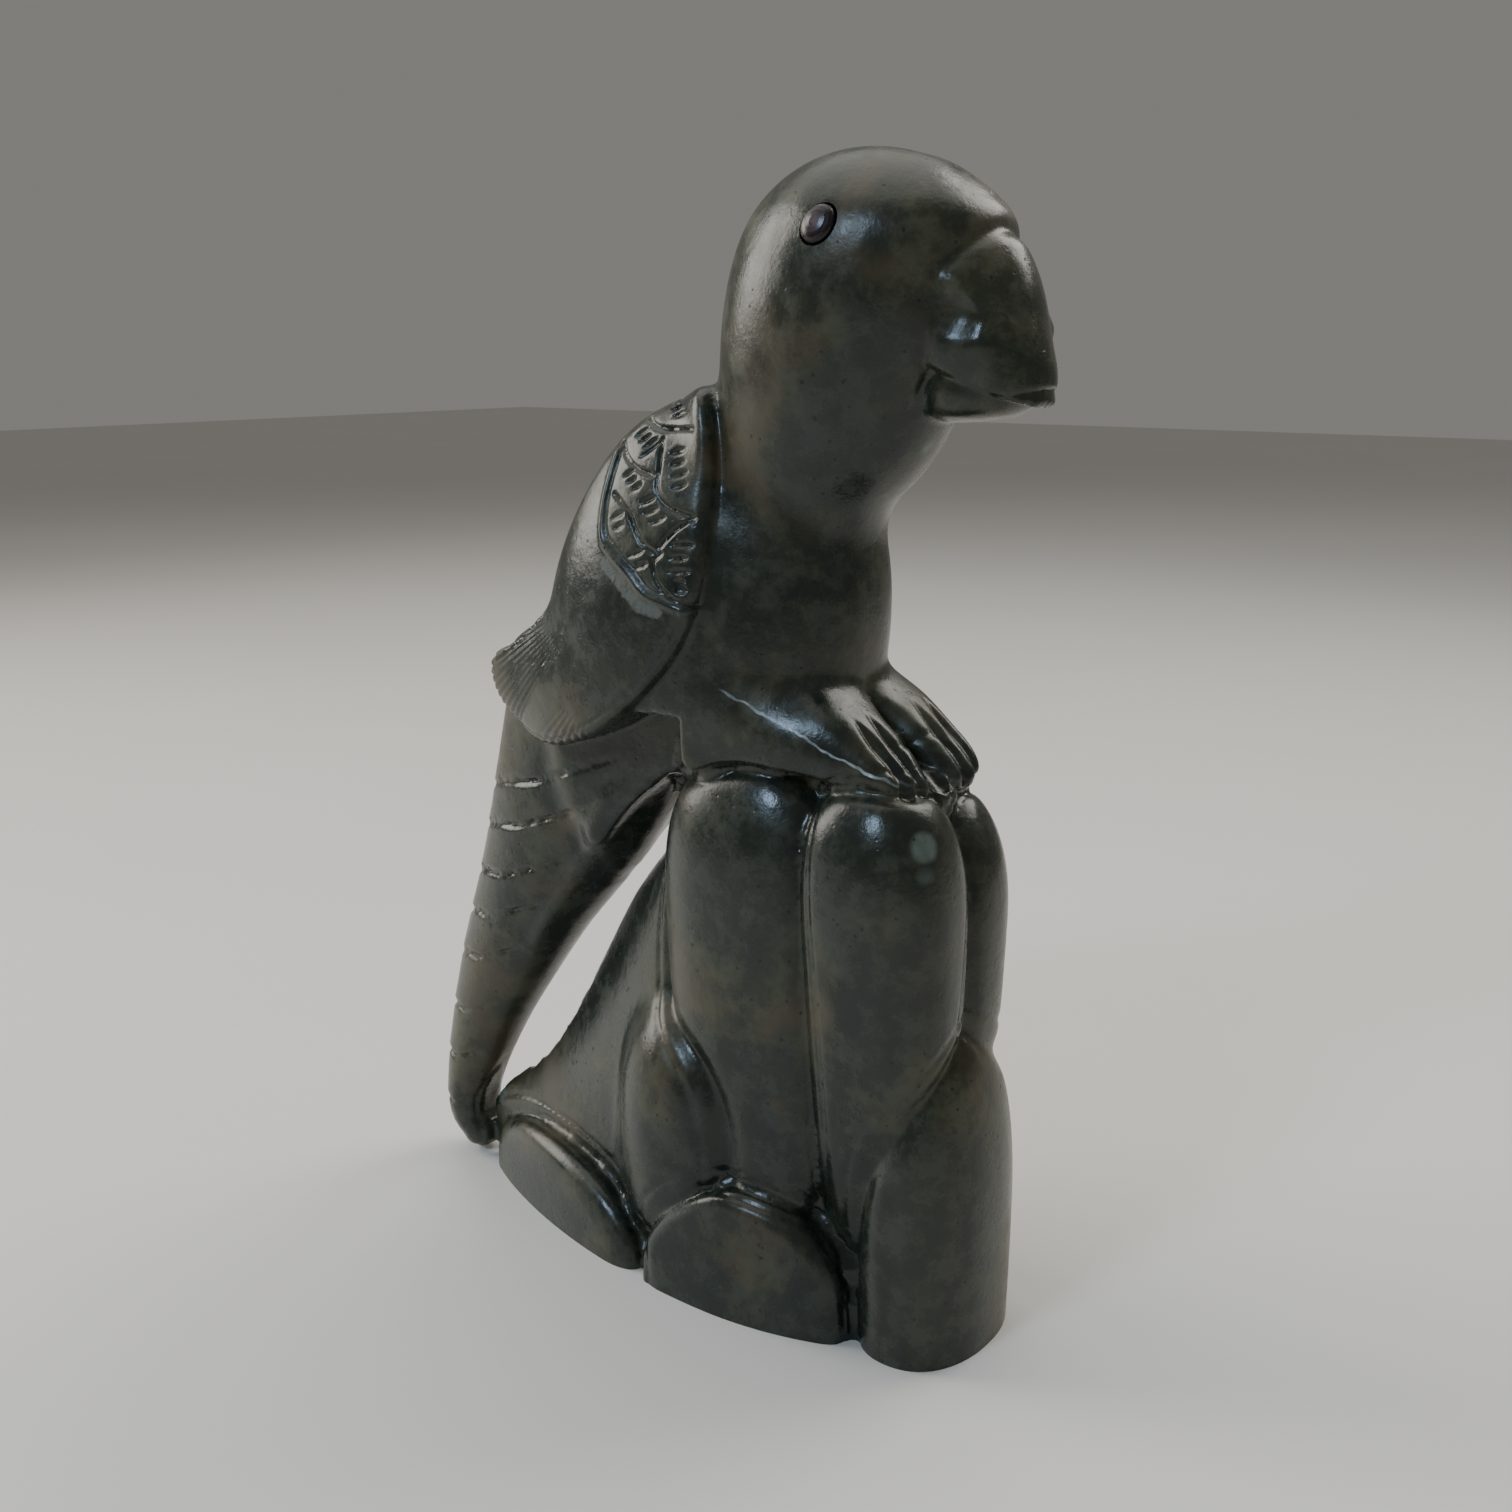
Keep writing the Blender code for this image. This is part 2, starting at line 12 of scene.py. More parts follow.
import bmesh
import bpy
import numpy as np
from mathutils import Matrix, Vector


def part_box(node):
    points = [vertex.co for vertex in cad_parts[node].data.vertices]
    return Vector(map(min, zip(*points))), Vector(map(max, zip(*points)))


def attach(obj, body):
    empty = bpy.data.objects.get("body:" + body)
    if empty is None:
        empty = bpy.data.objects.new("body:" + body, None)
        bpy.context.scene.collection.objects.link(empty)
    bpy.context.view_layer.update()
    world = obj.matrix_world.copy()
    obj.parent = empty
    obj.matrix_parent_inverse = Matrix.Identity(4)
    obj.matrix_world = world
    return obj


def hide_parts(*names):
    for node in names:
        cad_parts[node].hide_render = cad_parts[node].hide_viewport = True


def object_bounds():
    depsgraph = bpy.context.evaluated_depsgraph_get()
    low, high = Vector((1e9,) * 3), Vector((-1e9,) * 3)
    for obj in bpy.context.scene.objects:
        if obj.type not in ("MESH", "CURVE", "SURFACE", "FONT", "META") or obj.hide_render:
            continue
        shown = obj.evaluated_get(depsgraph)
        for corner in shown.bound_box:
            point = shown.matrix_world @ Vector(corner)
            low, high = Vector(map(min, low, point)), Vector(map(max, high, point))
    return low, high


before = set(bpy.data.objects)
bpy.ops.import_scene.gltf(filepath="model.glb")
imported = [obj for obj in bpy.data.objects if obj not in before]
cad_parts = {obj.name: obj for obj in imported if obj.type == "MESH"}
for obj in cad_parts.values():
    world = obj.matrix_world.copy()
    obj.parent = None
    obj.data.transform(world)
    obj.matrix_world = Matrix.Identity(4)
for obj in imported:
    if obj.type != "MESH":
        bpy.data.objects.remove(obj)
cad_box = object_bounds()
print("The packed carving fills", cad_box)

# %% [markdown]
# ## The camera
#
# The camera stands at the bird's right and a little above it, and has a fairly wide lens. Its place
# and two angles are enough to set it. It comes first, so that every later piece can be looked at
# through it.

# %% The camera
CAMERA_AT = (-0.242, -0.1954, 0.178)
CAMERA_DOWN, CAMERA_TURN = math.radians(14.0), math.radians(36.9)

lens = bpy.data.cameras.new("Camera")
lens.lens = 40.0
lens.sensor_width = 36.0
camera = bpy.data.objects.new("Camera", lens)
camera.location = CAMERA_AT
camera.rotation_euler = (math.pi / 2 - CAMERA_DOWN, 0, CAMERA_TURN - math.pi / 2)
bpy.context.scene.collection.objects.link(camera)
bpy.context.scene.camera = camera
print("The camera looks", math.degrees(CAMERA_DOWN), "degrees down")

# %% [markdown]
# ## The studio
#
# Polished dark stone shows little colour of its own. What the eye reads is the shape of the lights in
# it. So the studio is a pale floor, which lights the stone from below, a dim surround, and a few wide
# soft lights that leave the side toward the camera dark.

# %% The floor
FLOOR_HALF = 3.0

floor_mesh = bpy.data.meshes.new("Floor")
corners = [(-1, -1), (1, -1), (1, 1), (-1, 1)]
floor_mesh.from_pydata([(FLOOR_HALF * x, FLOOR_HALF * y, 0) for x, y in corners], [], [(0, 1, 2, 3)])
floor = bpy.data.objects.new("Floor", floor_mesh)
bpy.context.scene.collection.objects.link(floor)
print("The floor is", 2 * FLOOR_HALF, "m wide")

# %% The lights
# Each light: where it is and what it points at in metres, its width and height, watts, spread and colour
LIGHTS = {
    "Window left": ((-0.30, 0.95, 0.55), (0, 0.05, 0.10), 0.60, 0.75, 5.0, 130.0, (1.0, 0.95, 0.88)),
    "Window right": ((0.75, -0.28, 0.85), (0, 0, 0.10), 0.60, 0.60, 2.5, 120.0, (1.0, 0.97, 0.90)),
    "Blue window": ((-0.95, 0.11, 0.80), (0, 0, 0.10), 0.24, 0.32, 0.55, 60.0, (0.55, 0.75, 1.0)),
    "Ceiling": ((0.25, 0.35, 1.3), (0, 0, 0), 1.6, 1.6, 5.0, 120.0, (1.0, 0.97, 0.92)),
}
for name, (place, target, width, height, watts, spread, colour) in LIGHTS.items():
    lamp = bpy.data.lights.new(name, "AREA")
    lamp.shape = "RECTANGLE"
    lamp.size, lamp.size_y = width, height
    lamp.energy = watts
    lamp.spread = math.radians(spread)
    lamp.color = colour
    light = bpy.data.objects.new(name, lamp)
    light.location = place
    light.rotation_euler = (Vector(target) - Vector(place)).to_track_quat("-Z", "Y").to_euler()
    bpy.context.scene.collection.objects.link(light)

SURROUND_COLOUR = (0.60, 0.58, 0.54, 1.0)
SURROUND_STRENGTH = 0.36
world = bpy.data.worlds.new("Surround")
world.use_nodes = True
world.node_tree.nodes["Background"].inputs["Color"].default_value = SURROUND_COLOUR
world.node_tree.nodes["Background"].inputs["Strength"].default_value = SURROUND_STRENGTH
bpy.context.scene.world = world
print(len(LIGHTS), "lights")

# %% [markdown]
# ## Forms as distances
#
# Carved stone has no joints and few straight lines, so it is described here as a form: a function
# that says how far a point is outside the stone, and less than nothing inside it. Forms can be joined
# with a fillet, trimmed with a rounded edge and pressed with grooves, as a carver works. A place is
# written as (side, ahead, up) in parts of the carving's height. A part is one millimetre.

# %% Places and joins
PARTS_IN_HEIGHT = 208.0
NEAR = 10.0
# The groove in a crease, and the fine line beside it: how far from it, its width and its depth
CREASE_WIDTH, CREASE_DEPTH = 1.3, 0.9
SEAM_AWAY, SEAM_WIDTH, SEAM_DEPTH = 3.0, 0.55, 0.3


def spot(side, ahead, up):
    """A place on the carving as x, y, z, all in parts."""
    return np.array([side, -ahead, up], float)


def mirrored(points):
    """The points folded onto the bird's right side."""
    folded = points.copy()
    folded[:, 0] = -np.abs(folded[:, 0])
    return folded


def bell(away, width):
    """One on a line, and nearly nothing twice this width away from it."""
    return np.exp(-((away / width) ** 2))


def blend(first, second, radius):
    """The union of two forms, with a fillet of about this radius in the crease."""
    share = np.clip(0.5 + 0.5 * (second - first) / radius, 0.0, 1.0)
    return second + (first - second) * share - radius * share * (1.0 - share)


def seamed(under, over, radius):
    """The union of two forms, with a groove in the crease and a fine line beside it, in the first of them."""
    cut = CREASE_DEPTH * bell(over - under, CREASE_WIDTH)
    return blend(under, over, radius) + cut + SEAM_DEPTH * bell(over - under - SEAM_AWAY, SEAM_WIDTH)


def trim(first, second, radius):
    """What two forms have in common, with its edge rounded off."""
    return -blend(-first, -second, radius)


def near_box(points, low, high, form):
    """The form's value near a box that holds it. Elsewhere it is the distance to the box."""
    found = np.linalg.norm(np.maximum(np.maximum(low - points, points - high), 0.0), axis=1)
    near = found < NEAR
    found[near] = form(points[near])
    return found


# %% Eggs
def egg(points, centre, radii, lean=0.0, turn=0.0, roll=0.0, power=2.0, below=1.0):
    """How far points are outside an egg, whose lower half is below times as high as the upper."""
    axes = (
        Matrix.Rotation(math.radians(turn), 3, "Z")
        @ Matrix.Rotation(math.radians(lean), 3, "X")
        @ Matrix.Rotation(math.radians(roll), 3, "Y")
    )
    high = np.array(radii, float)
    low = high * (1.0, 1.0, below)

    def value(local):
        sizes = np.where(local < 0, low, high)
        local = np.maximum(np.abs(local) / sizes, 1e-6)
        reach = (local**power).sum(axis=1) ** (1.0 / power)
        slope = np.linalg.norm((local / reach[:, None]) ** (power - 1.0) / sizes, axis=1)
        return (reach - 1.0) / slope

    return near_box((points - spot(*centre)) @ np.array(axes), -low, high, value)


# %% Lines, limbs and outlines
SPLINE_STEPS = 4


def smooth_line(stations, steps=SPLINE_STEPS, closed=False):
    """Points on a smooth curve through the stations, whatever numbers each station holds."""
    knots = np.array(stations, float)
    if closed:
        knots = np.vstack([knots[-1], knots, knots[:2]])
    else:
        knots = np.vstack([2 * knots[0] - knots[1], knots, 2 * knots[-1] - knots[-2]])
    made = []
    for before, start, end, after in zip(knots, knots[1:], knots[2:], knots[3:]):
        for t in np.arange(steps) / steps:
            made.append(
                0.5
                * (
                    2 * start
                    + (end - before) * t
                    + (2 * before - 5 * start + 4 * end - after) * t**2
                    + (3 * start - before - 3 * end + after) * t**3
                )
            )
    if not closed:
        made.append(knots[-2])
    return np.array(made)


def side_view(points):
    """The points' (ahead, up)."""
    return np.stack([-points[:, 1], points[:, 2]], axis=1)


def limb(points, stations, steps=SPLINE_STEPS):
    """A limb in the bird's middle plane. A station is (ahead, up, half depth, half width)."""
    line = smooth_line(stations, steps)
    nearest = np.full(len(points), np.inf)
    found = np.full(len(points), np.inf)
    flat = side_view(points)
    for start, end in zip(line, line[1:]):
        along = end[:2] - start[:2]
        t = np.clip((flat - start[:2]) @ along / (along @ along), 0.0, 1.0)
        away = np.linalg.norm(flat - start[:2] - t[:, None] * along, axis=1)
        sizes = start[2:] + t[:, None] * (end[2:] - start[2:])
        reach = np.hypot(away / sizes[:, 0], points[:, 0] / sizes[:, 1])
        slope = np.hypot(away / sizes[:, 0] ** 2, points[:, 0] / sizes[:, 1] ** 2)
        value = (reach - 1.0) * np.maximum(reach, 1e-6) / np.maximum(slope, 1e-6)
        closer = away < nearest
        nearest = np.where(closer, away, nearest)
        found = np.where(closer, value, found)
    return found


def outline(points, corners, closed=True):
    """Distance from the side view of the points to an outline, less than nothing inside it."""
    line = smooth_line(corners, closed=closed)
    flat = side_view(points)
    nearest = np.full(len(points), np.inf)
    inside = np.zeros(len(points), bool)
    for start, end in zip(line, np.roll(line, -1, axis=0)):
        along = end - start
        t = np.clip((flat - start) @ along / (along @ along), 0.0, 1.0)
        nearest = np.minimum(nearest, np.linalg.norm(flat - start - t[:, None] * along, axis=1))
        crosses = (start[1] > flat[:, 1]) != (end[1] > flat[:, 1])
        rise = np.where(crosses, along[1], 1.0)
        inside ^= crosses & (flat[:, 0] < start[0] + (flat[:, 1] - start[1]) * along[0] / rise)
    return np.where(inside, -nearest, nearest)


# %% [markdown]
# ## The rock
#
# The rock stands on a pointed oval foot. Its middle is a smooth web that climbs toward the bird, and
# rounded boulders lean against it in pairs, with one more in front. Low down, the wall of the foot is
# cut by shallow arches, so that it looks like more boulders half sunk in the ground.

# %% The rock's form
FOOT_BACK, FOOT_WIDEST, FOOT_FRONT, FOOT_HALF_WIDTH = -66.0, 14.0, 66.0, 22.7
# The web's back edge as (up, ahead)
BACK_EDGE = ((-5.0, -66.0), (12.0, -66.0), (17.5, -61.5), (21.0, -56.0), (29.6, -46.0), (38.0, -39.5),
             (48.0, -33.0), (67.5, -21.5), (75.0, -16.0), (88.0, -6.5), (120.0, 6.0))
# The web is a narrower oval. Its wall leans, so it is nearer than a level measure says
CORE_INSET, CORE_LEAN = 7.0, 0.85
CORE_TOP, CORE_TOP_ROUND = 108.0, 6.0
CORE_FRONT, CORE_FRONT_ROUND = 53.0, 4.0
# The web's sharp back edge is rounded by this share of its inset
RIDGE_ROUND = 0.12
# Boulders: centre, radii, lean, turn, roll, power, and lower height for each upper
BOULDERS = (
    ((-8.6, 44.0, 80.0), (12.6, 15.2, 26.0), 2.0, 0.0, -5.0, 2.4, 3.0),
    ((6.0, 43.4, 77.0), (12.8, 15.6, 25.5), 0.0, 0.0, 3.5, 2.3, 3.2),
    ((-8.5, 19.5, 80.0), (13.4, 20.0, 28.0), 0.0, 0.0, -1.5, 2.4, 2.8),
    ((8.8, 17.5, 78.0), (12.8, 15.5, 28.0), 0.0, 0.0, 1.5, 2.4, 2.8),
    ((0.0, 51.8, 24.0), (17.0, 11.8, 39.0), 0.0, 0.0, 0.0, 2.25, 2.2),
)
# The two boulders that swell softly out of the rock's middle
SOFT_BOULDERS = (
    ((-11.5, 5.0, 35.0), (11.8, 15.0, 20.0), 4.0, 0.0, -4.0, 2.2, 1.8),
    ((10.5, 2.0, 33.0), (11.8, 15.0, 19.5), 4.0, 0.0, 4.0, 2.2, 1.7),
)
# Low arches: (ahead, half length behind, half length in front, top)
LOW_ARCHES = ((22.0, 25.0, 21.0, 25.8), (-35.0, 29.0, 31.5, 17.5))
ARCH_POWER, ARCH_ROUND = 2.1, 5.0
CREASE = 1.2
SOFT_CREASE = 7.0


def footprint(points, back, inset):
    """Distance outside a pointed oval wall that reaches this far back at each point."""
    ahead = -points[:, 1] - FOOT_WIDEST
    half = FOOT_HALF_WIDTH - inset
    length = np.where(ahead < 0, FOOT_WIDEST - back, FOOT_FRONT - inset - FOOT_WIDEST)
    arc = (length**2 + half**2) / (2 * half)
    return np.hypot(ahead, np.hypot(points[:, 0], RIDGE_ROUND * inset) + arc - half) - arc


def low_arch(points, middle, behind, in_front, top):
    """A boulder at the foot: the wall where an arch leaves it standing proud."""
    ahead = -points[:, 1] - middle
    across = np.abs(ahead) / np.where(ahead < 0, behind, in_front)
    above = np.maximum(points[:, 2], 0.0) / top
    reach = np.maximum((across**ARCH_POWER + above**ARCH_POWER) ** (1 / ARCH_POWER), 1e-6)
    arch = (reach - 1.0) * min(behind, top)
    return trim(footprint(points, FOOT_BACK, 0.0), arch, ARCH_ROUND)


def rock(points):
    back = np.interp(points[:, 2], *smooth_line(BACK_EDGE).T)
    form = CORE_LEAN * footprint(points, back, CORE_INSET)
    form = trim(form, points[:, 2] - CORE_TOP, CORE_TOP_ROUND)
    form = trim(form, -points[:, 1] - CORE_FRONT, CORE_FRONT_ROUND)
    for boulder in SOFT_BOULDERS:
        form = blend(form, egg(points, *boulder), SOFT_CREASE)
    for arch in LOW_ARCHES:
        form = seamed(form, low_arch(points, *arch), CREASE)
    for boulder in BOULDERS:
        form = seamed(form, egg(points, *boulder), CREASE)
    return form


# %% [markdown]
# ## The bird
#
# Head, neck and breast flow into one another, so they are eggs joined with wide fillets. The tail
# and the beak each follow a curved line in the bird's middle plane. A wing is a shell over the body,
# trimmed by its outline, with a thicker tip that stands away from the tail.

# %% The bird's form
# Eggs of the bird: centre, radii, lean, turn, roll and power
HEAD = ((0.0, 34.0, 185.5), (21.0, 24.0, 22.5))
BROW = ((0.0, 41.0, 193.5), (16.5, 18.2, 9.5))
NECK = ((0.0, 28.0, 170.0), (19.0, 20.5, 22.0), 8.0)
TORSO = ((0.0, 2.0, 120.0), (21.5, 32.0, 48.0), 11.6, 0.0, 0.0, 2.4)
THIGH = ((-7.0, 22.0, 112.0), (12.5, 21.5, 9.5), 20.0, 0.0, 0.0, 2.5)
SHOULDER = ((0.0, 26.0, 168.0), (19.0, 21.0, 24.0), 8.0)
WING_TIP = ((-10.5, -27.0, 113.0), (8.0, 21.0, 12.0), 12.0, -6.0, 0.0, 2.3)
# Fillets where these forms meet
BROW_FILLET, NECK_FILLET, BREAST_FILLET, THIGH_FILLET = 6.0, 8.0, 9.0, 4.0
TAIL_FILLET, BEAK_FILLET, JAW_FILLET, FOOT_FILLET = 5.0, 1.5, 0.8, 4.0
SHOULDER_FILLET, WING_TIP_FILLET, WING_FILLET = 5.0, 8.0, 1.0
# How round the edges are where a form is cut back
SADDLE_ROUND, RECESS_ROUND, MOUTH_ROUND, JAW_ROUND, WING_ROUND = 3.0, 1.5, 1.2, 3.0, 3.0
# Stations along the middle of the tail and of the beak: (ahead, up, half depth, half width)
TAIL = ((-28, 104, 23.5, 12), (-37, 84, 19, 12), (-46.5, 66, 14, 11), (-55, 50, 11.2, 9.5),
        (-62, 35, 8.6, 8), (-67.5, 20, 6.4, 6.5), (-68.8, 10, 5.2, 6), (-66, 5, 4.6, 5))
BEAK = ((43, 193, 12.6, 13.6), (51, 184, 13.3, 12.6), (56.5, 176, 11, 11.3), (60, 171, 8.6, 9),
        (61, 168, 7, 7.5))
BEAK_STEPS = 12
# The line of the mouth falls forward. The lower jaw is a flat egg under it, cut level at the bottom
MOUTH_HEIGHT, MOUTH_SLOPE, BEAK_BOTTOM, BOTTOM_SLOPE = 194.0, 0.4, 158.6, 0.11
JAW = ((0.0, 55.6, 170.3), (9.4, 9.4, 7.8), 0.0, 0.0, 0.0, 2.1)
WING_OUTLINE = ((9.5, 169.5), (13.5, 163), (15.2, 151), (15.2, 139), (11.5, 127), (2.5, 116.5), (-9.5, 108),
                (-24, 103), (-37, 104.5), (-44, 110), (-45.5, 117), (-38, 121), (-30, 129), (-22, 143),
                (-9.5, 161), (2, 168.5))
WING_THICKNESS = 3.0
# The hollow under the belly, cut by a large egg
SADDLE = ((0, 27, 53), (60, 55, 55))
# Behind this edge and below the wing, the body is cut back to the width of the tail
RECESS_AHEAD, RECESS_TOP, RECESS_HALF_WIDTH = 9.0, 113.0, 12.0
# A foot is one broad egg: centre, radii and lean, and its power
FOOT = ((-8.0, 39.4, 109.1), (7.8, 14.0, 5.0), 36.0)
FOOT_POWER = 3.0
# Cuts between the toes: across the foot, half width, depth, and how far down the foot they start
TOE_CUTS = ((0.0, 2.1, 3.6, -9.0), (-7.2, 1.1, 1.3, -5.0), (-11.2, 1.1, 1.3, -5.0))
# Boxes that hold a form: (side, ahead, up) of the corner lowest in x, y and z, and of the highest
TAIL_BOX = ((-12, 0, 0), (12, -76, 112))
BEAK_BOX = ((-13, 75, 160), (13, 31, 204))
FOOT_BOX = ((-17, 56, 96), (0, 30, 124))
WING_BOX = ((-28, 24, 98), (0, -52, 175))


def boxed(points, box, form):
    """The form's value near one of the boxes above."""
    low, high = box
    return near_box(points, spot(*low), spot(*high), form)


def tail(points):
    return boxed(points, TAIL_BOX, lambda near: limb(near, TAIL))


def head(points):
    return blend(egg(points, *HEAD), egg(points, *BROW), BROW_FILLET)


def body(points):
    torso = blend(egg(points, *TORSO), egg(points, *THIGH), THIGH_FILLET)
    torso = trim(torso, -egg(points, *SADDLE), SADDLE_ROUND)
    recess = np.maximum(-points[:, 1] - RECESS_AHEAD, points[:, 2] - RECESS_TOP)
    torso = trim(torso, -np.maximum(recess, RECESS_HALF_WIDTH + points[:, 0]), RECESS_ROUND)
    neck = blend(head(points), egg(points, *NECK), NECK_FILLET)
    return blend(neck, torso, BREAST_FILLET)


def beak(points):
    bill = boxed(points, BEAK_BOX, lambda near: limb(near, BEAK, BEAK_STEPS))
    mouth = MOUTH_HEIGHT + MOUTH_SLOPE * points[:, 1] - points[:, 2]
    bottom = BEAK_BOTTOM - BOTTOM_SLOPE * points[:, 1] - points[:, 2]
    jaw = trim(egg(points, *JAW), bottom, JAW_ROUND)
    return blend(trim(bill, mouth, MOUTH_ROUND), jaw, JAW_FILLET)


def wing(points):
    shell = blend(egg(points, *TORSO), egg(points, *SHOULDER), SHOULDER_FILLET) - WING_THICKNESS
    shell = blend(shell, egg(points, *WING_TIP), WING_TIP_FILLET)
    return trim(shell, outline(points, WING_OUTLINE), WING_ROUND)


def feet(points):
    centre, radii, lean = FOOT
    return egg(points, centre, radii, lean=lean, power=FOOT_POWER)


def bird(half):
    form = blend(body(half), tail(half), TAIL_FILLET)
    form = blend(form, beak(half), BEAK_FILLET)
    form = blend(form, boxed(half, FOOT_BOX, feet), FOOT_FILLET)
    return blend(form, boxed(half, WING_BOX, wing), WING_FILLET)


# %% [markdown]
# ## The carved detail
#
# Every cut is a height: how far the skin rises above the plain form, in parts, and less than nothing
# in a groove. A groove follows a line and has a bell-shaped section, as a small round burr leaves.
# Working on the form and not on a picture keeps each cut true from every side.

# %% Grooves
def ramp(value, start, end):
    """Smoothly from 0 at start to 1 at end."""
    t = np.clip((value - start) / (end - start), 0.0, 1.0)
    return t * t * (3.0 - 2.0 * t)


def gap(places, line):
    """Distance from places to a line of points, in as many directions as the line has."""
    nearest = np.full(len(places), np.inf)
    for start, end in zip(line, line[1:]):
        along = end - start
        t = np.clip((places - start) @ along / (along @ along), 0.0, 1.0)
        nearest = np.minimum(nearest, np.linalg.norm(places - start - t[:, None] * along, axis=1))
    return nearest


def groove(places, line, width, depth):
    """The height along a line: a cut where depth is more than nothing, and a rib where it is less."""
    height = np.zeros(len(places))
    low, high = line.min(axis=0) - 3 * width, line.max(axis=0) + 3 * width
    near = np.all((places > low) & (places < high), axis=1)
    height[near] = -depth * bell(gap(places[near], line), width)
    return height


# %% [markdown]
# ### The feathers of the wing
#
# The top of each wing has a patch of small overlapping feathers. Each feather is closed below by a
# curved cut, and its face has a row of short nicks. Its outer rim is a raised bead. A row of nicks is
# one start, one step and one direction, repeated by a loop.

# %% The feather patch
# The curved cut under each feather, as (ahead, up)
FEATHER_EDGES = (
    ((-2.0, 164.0), (1.5, 162.8), (6.0, 162.7), (10.0, 162.8)),
    ((-6.5, 160.0), (-4.5, 158.0), (-1.0, 156.0), (3.4, 155.0)),
    ((3.4, 160.0), (4.2, 156.5), (5.0, 152.5), (8.0, 149.8), (13.2, 148.4)),
    ((-5.0, 151.4), (-1.0, 148.7), (1.2, 146.0), (3.4, 143.4), (6.0, 142.2)),
    ((7.0, 143.2), (9.6, 146.0), (12.8, 148.2)),
    ((7.4, 142.2), (5.8, 140.4), (7.0, 137.2), (9.8, 134.8)),
)
# Rows of nicks: first start, step to the next, direction and length, and how many
NICK_ROWS = (
    ((0.0, 166.6), (1.8, -1.0), (3.6, 1.1), 3),
    ((-3.9, 161.0), (1.6, -0.8), (2.9, 1.7), 3),
    ((-0.8, 157.6), (1.0, -1.0), (4.6, 3.8), 1),
    ((5.6, 158.5), (0.7, -1.85), (3.6, 1.1), 4),
    ((-3.9, 154.4), (1.4, -1.05), (2.5, 1.3), 3),
    ((1.4, 150.1), (1.4, -1.55), (3.6, 1.4), 3),
    ((9.3, 143.7), (-0.1, -2.25), (4.7, 0.4), 3),
    ((10.5, 137.6), (0.2, -0.75), (2.4, 0.2), 3),
    ((-4.9, 147.2), (0.9, -1.7), (3.0, 1.3), 2),
    ((-0.1, 141.1), (1.7, -1.9), (3.9, 1.4), 2),
)
PATCH_RIM = ((-7.2, 158.5), (-7.6, 150.0), (-6.8, 144.0), (-4.0, 141.4), (0.4, 138.4), (4.3, 135.2),
             (9.0, 133.8), (14.0, 132.4))
EDGE_WIDTH, EDGE_DEPTH = 0.42, 0.6
NICK_WIDTH, NICK_DEPTH = 0.45, 0.6
BEAD_WIDTH, BEAD_HEIGHT = 0.75, 0.5
# The cut inside the rim's bead: how far from it, and how deep beside a feather's edge
INNER_SHIFT, INNER_SHARE = (1.0, 1.0), 0.5
# Every second nick in a row is this much shorter
NICK_SHORTER = 0.12
# Steps between the stations of a line that has to look round
ROUND = 12


def nick(flat, start, along):
    """The height in one short cut, which is widest in its middle and ends in points."""
    t = (flat - start) @ along / (along @ along)
    away = np.abs((flat - start) @ (-along[1], along[0])) / np.linalg.norm(along)
    full = np.sqrt(np.clip(1.0 - (2.0 * t - 1.0) ** 2, 0.0, 1.0))
    return NICK_DEPTH * full * bell(away, NICK_WIDTH * (0.25 + 0.75 * full))


def feather_patch(flat):
    height = np.zeros(len(flat))
    for edge in FEATHER_EDGES:
        height += groove(flat, smooth_line(edge, ROUND), EDGE_WIDTH, EDGE_DEPTH)
    for start, step, along, count in NICK_ROWS:
        for number in range(count):
            begin = np.add(start, np.multiply(number, step))
            height -= nick(flat, begin, np.multiply(along, 1.0 - NICK_SHORTER * (number % 2)))
    height += groove(flat, smooth_line(PATCH_RIM, ROUND), BEAD_WIDTH, -BEAD_HEIGHT)
    inner = smooth_line(np.add(PATCH_RIM, INNER_SHIFT), ROUND)
    return height + groove(flat, inner, EDGE_WIDTH, INNER_SHARE * EDGE_DEPTH)


# %% [markdown]
# ### The rim and the quills of the wing
#
# A bevel runs round the wing's edge, with a fine line inside its lower part. At the tip, straight
# quills fan out to the edge, and shorter, fainter ones reach the lower edge.

# %% Quills and rim
RIM_INSET, RIM_WIDTH, RIM_DEPTH = 2.1, 0.4, 0.3
# The rim's line fades out between these heights
RIM_FADE = (128.0, 136.0)
WING_EDGE_FADE = 0.6
# Fans of quills: centre, first and last angle below level, where they start and are full, how many, height
QUILL_FANS = (
    ((-0.6, 141.0), 27.0, 47.0, 24.0, 31.0, 11, 0.32),
    ((-2.0, 123.6), 38.0, 66.0, 15.5, 20.0, 8, 0.16),
)


def quills(flat):
    height = np.zeros(len(flat))
    for centre, first, last, start, full, count, tall in QUILL_FANS:
        behind = flat - centre
        angle = np.degrees(np.arctan2(-behind[:, 1], -behind[:, 0]))
        reach = np.hypot(*behind.T)
        turns = (angle - first) / (last - first) * count
        within = ramp(turns, -0.5, 0.5) * (1.0 - ramp(turns, count - 0.5, count + 0.5))
        height -= tall * within * ramp(reach, start, full) * (0.5 + 0.5 * np.cos(2 * np.pi * turns))
    return height


def wing_detail(half):
    flat = side_view(half)
    edge = outline(half, WING_OUTLINE)
    height = feather_patch(flat) + quills(flat)
    height -= RIM_DEPTH * bell(edge + RIM_INSET, RIM_WIDTH) * (1.0 - ramp(half[:, 2], *RIM_FADE))
    return height * (1.0 - ramp(edge, -WING_EDGE_FADE, WING_EDGE_FADE))


# %% [markdown]
# ### The bands of the tail
#
# The tail is crossed by slanting cuts, each rising toward the bird. They are deepest on the back edge
# and fade out before they reach the smooth hollow on its inner side, which ends in a low ridge.

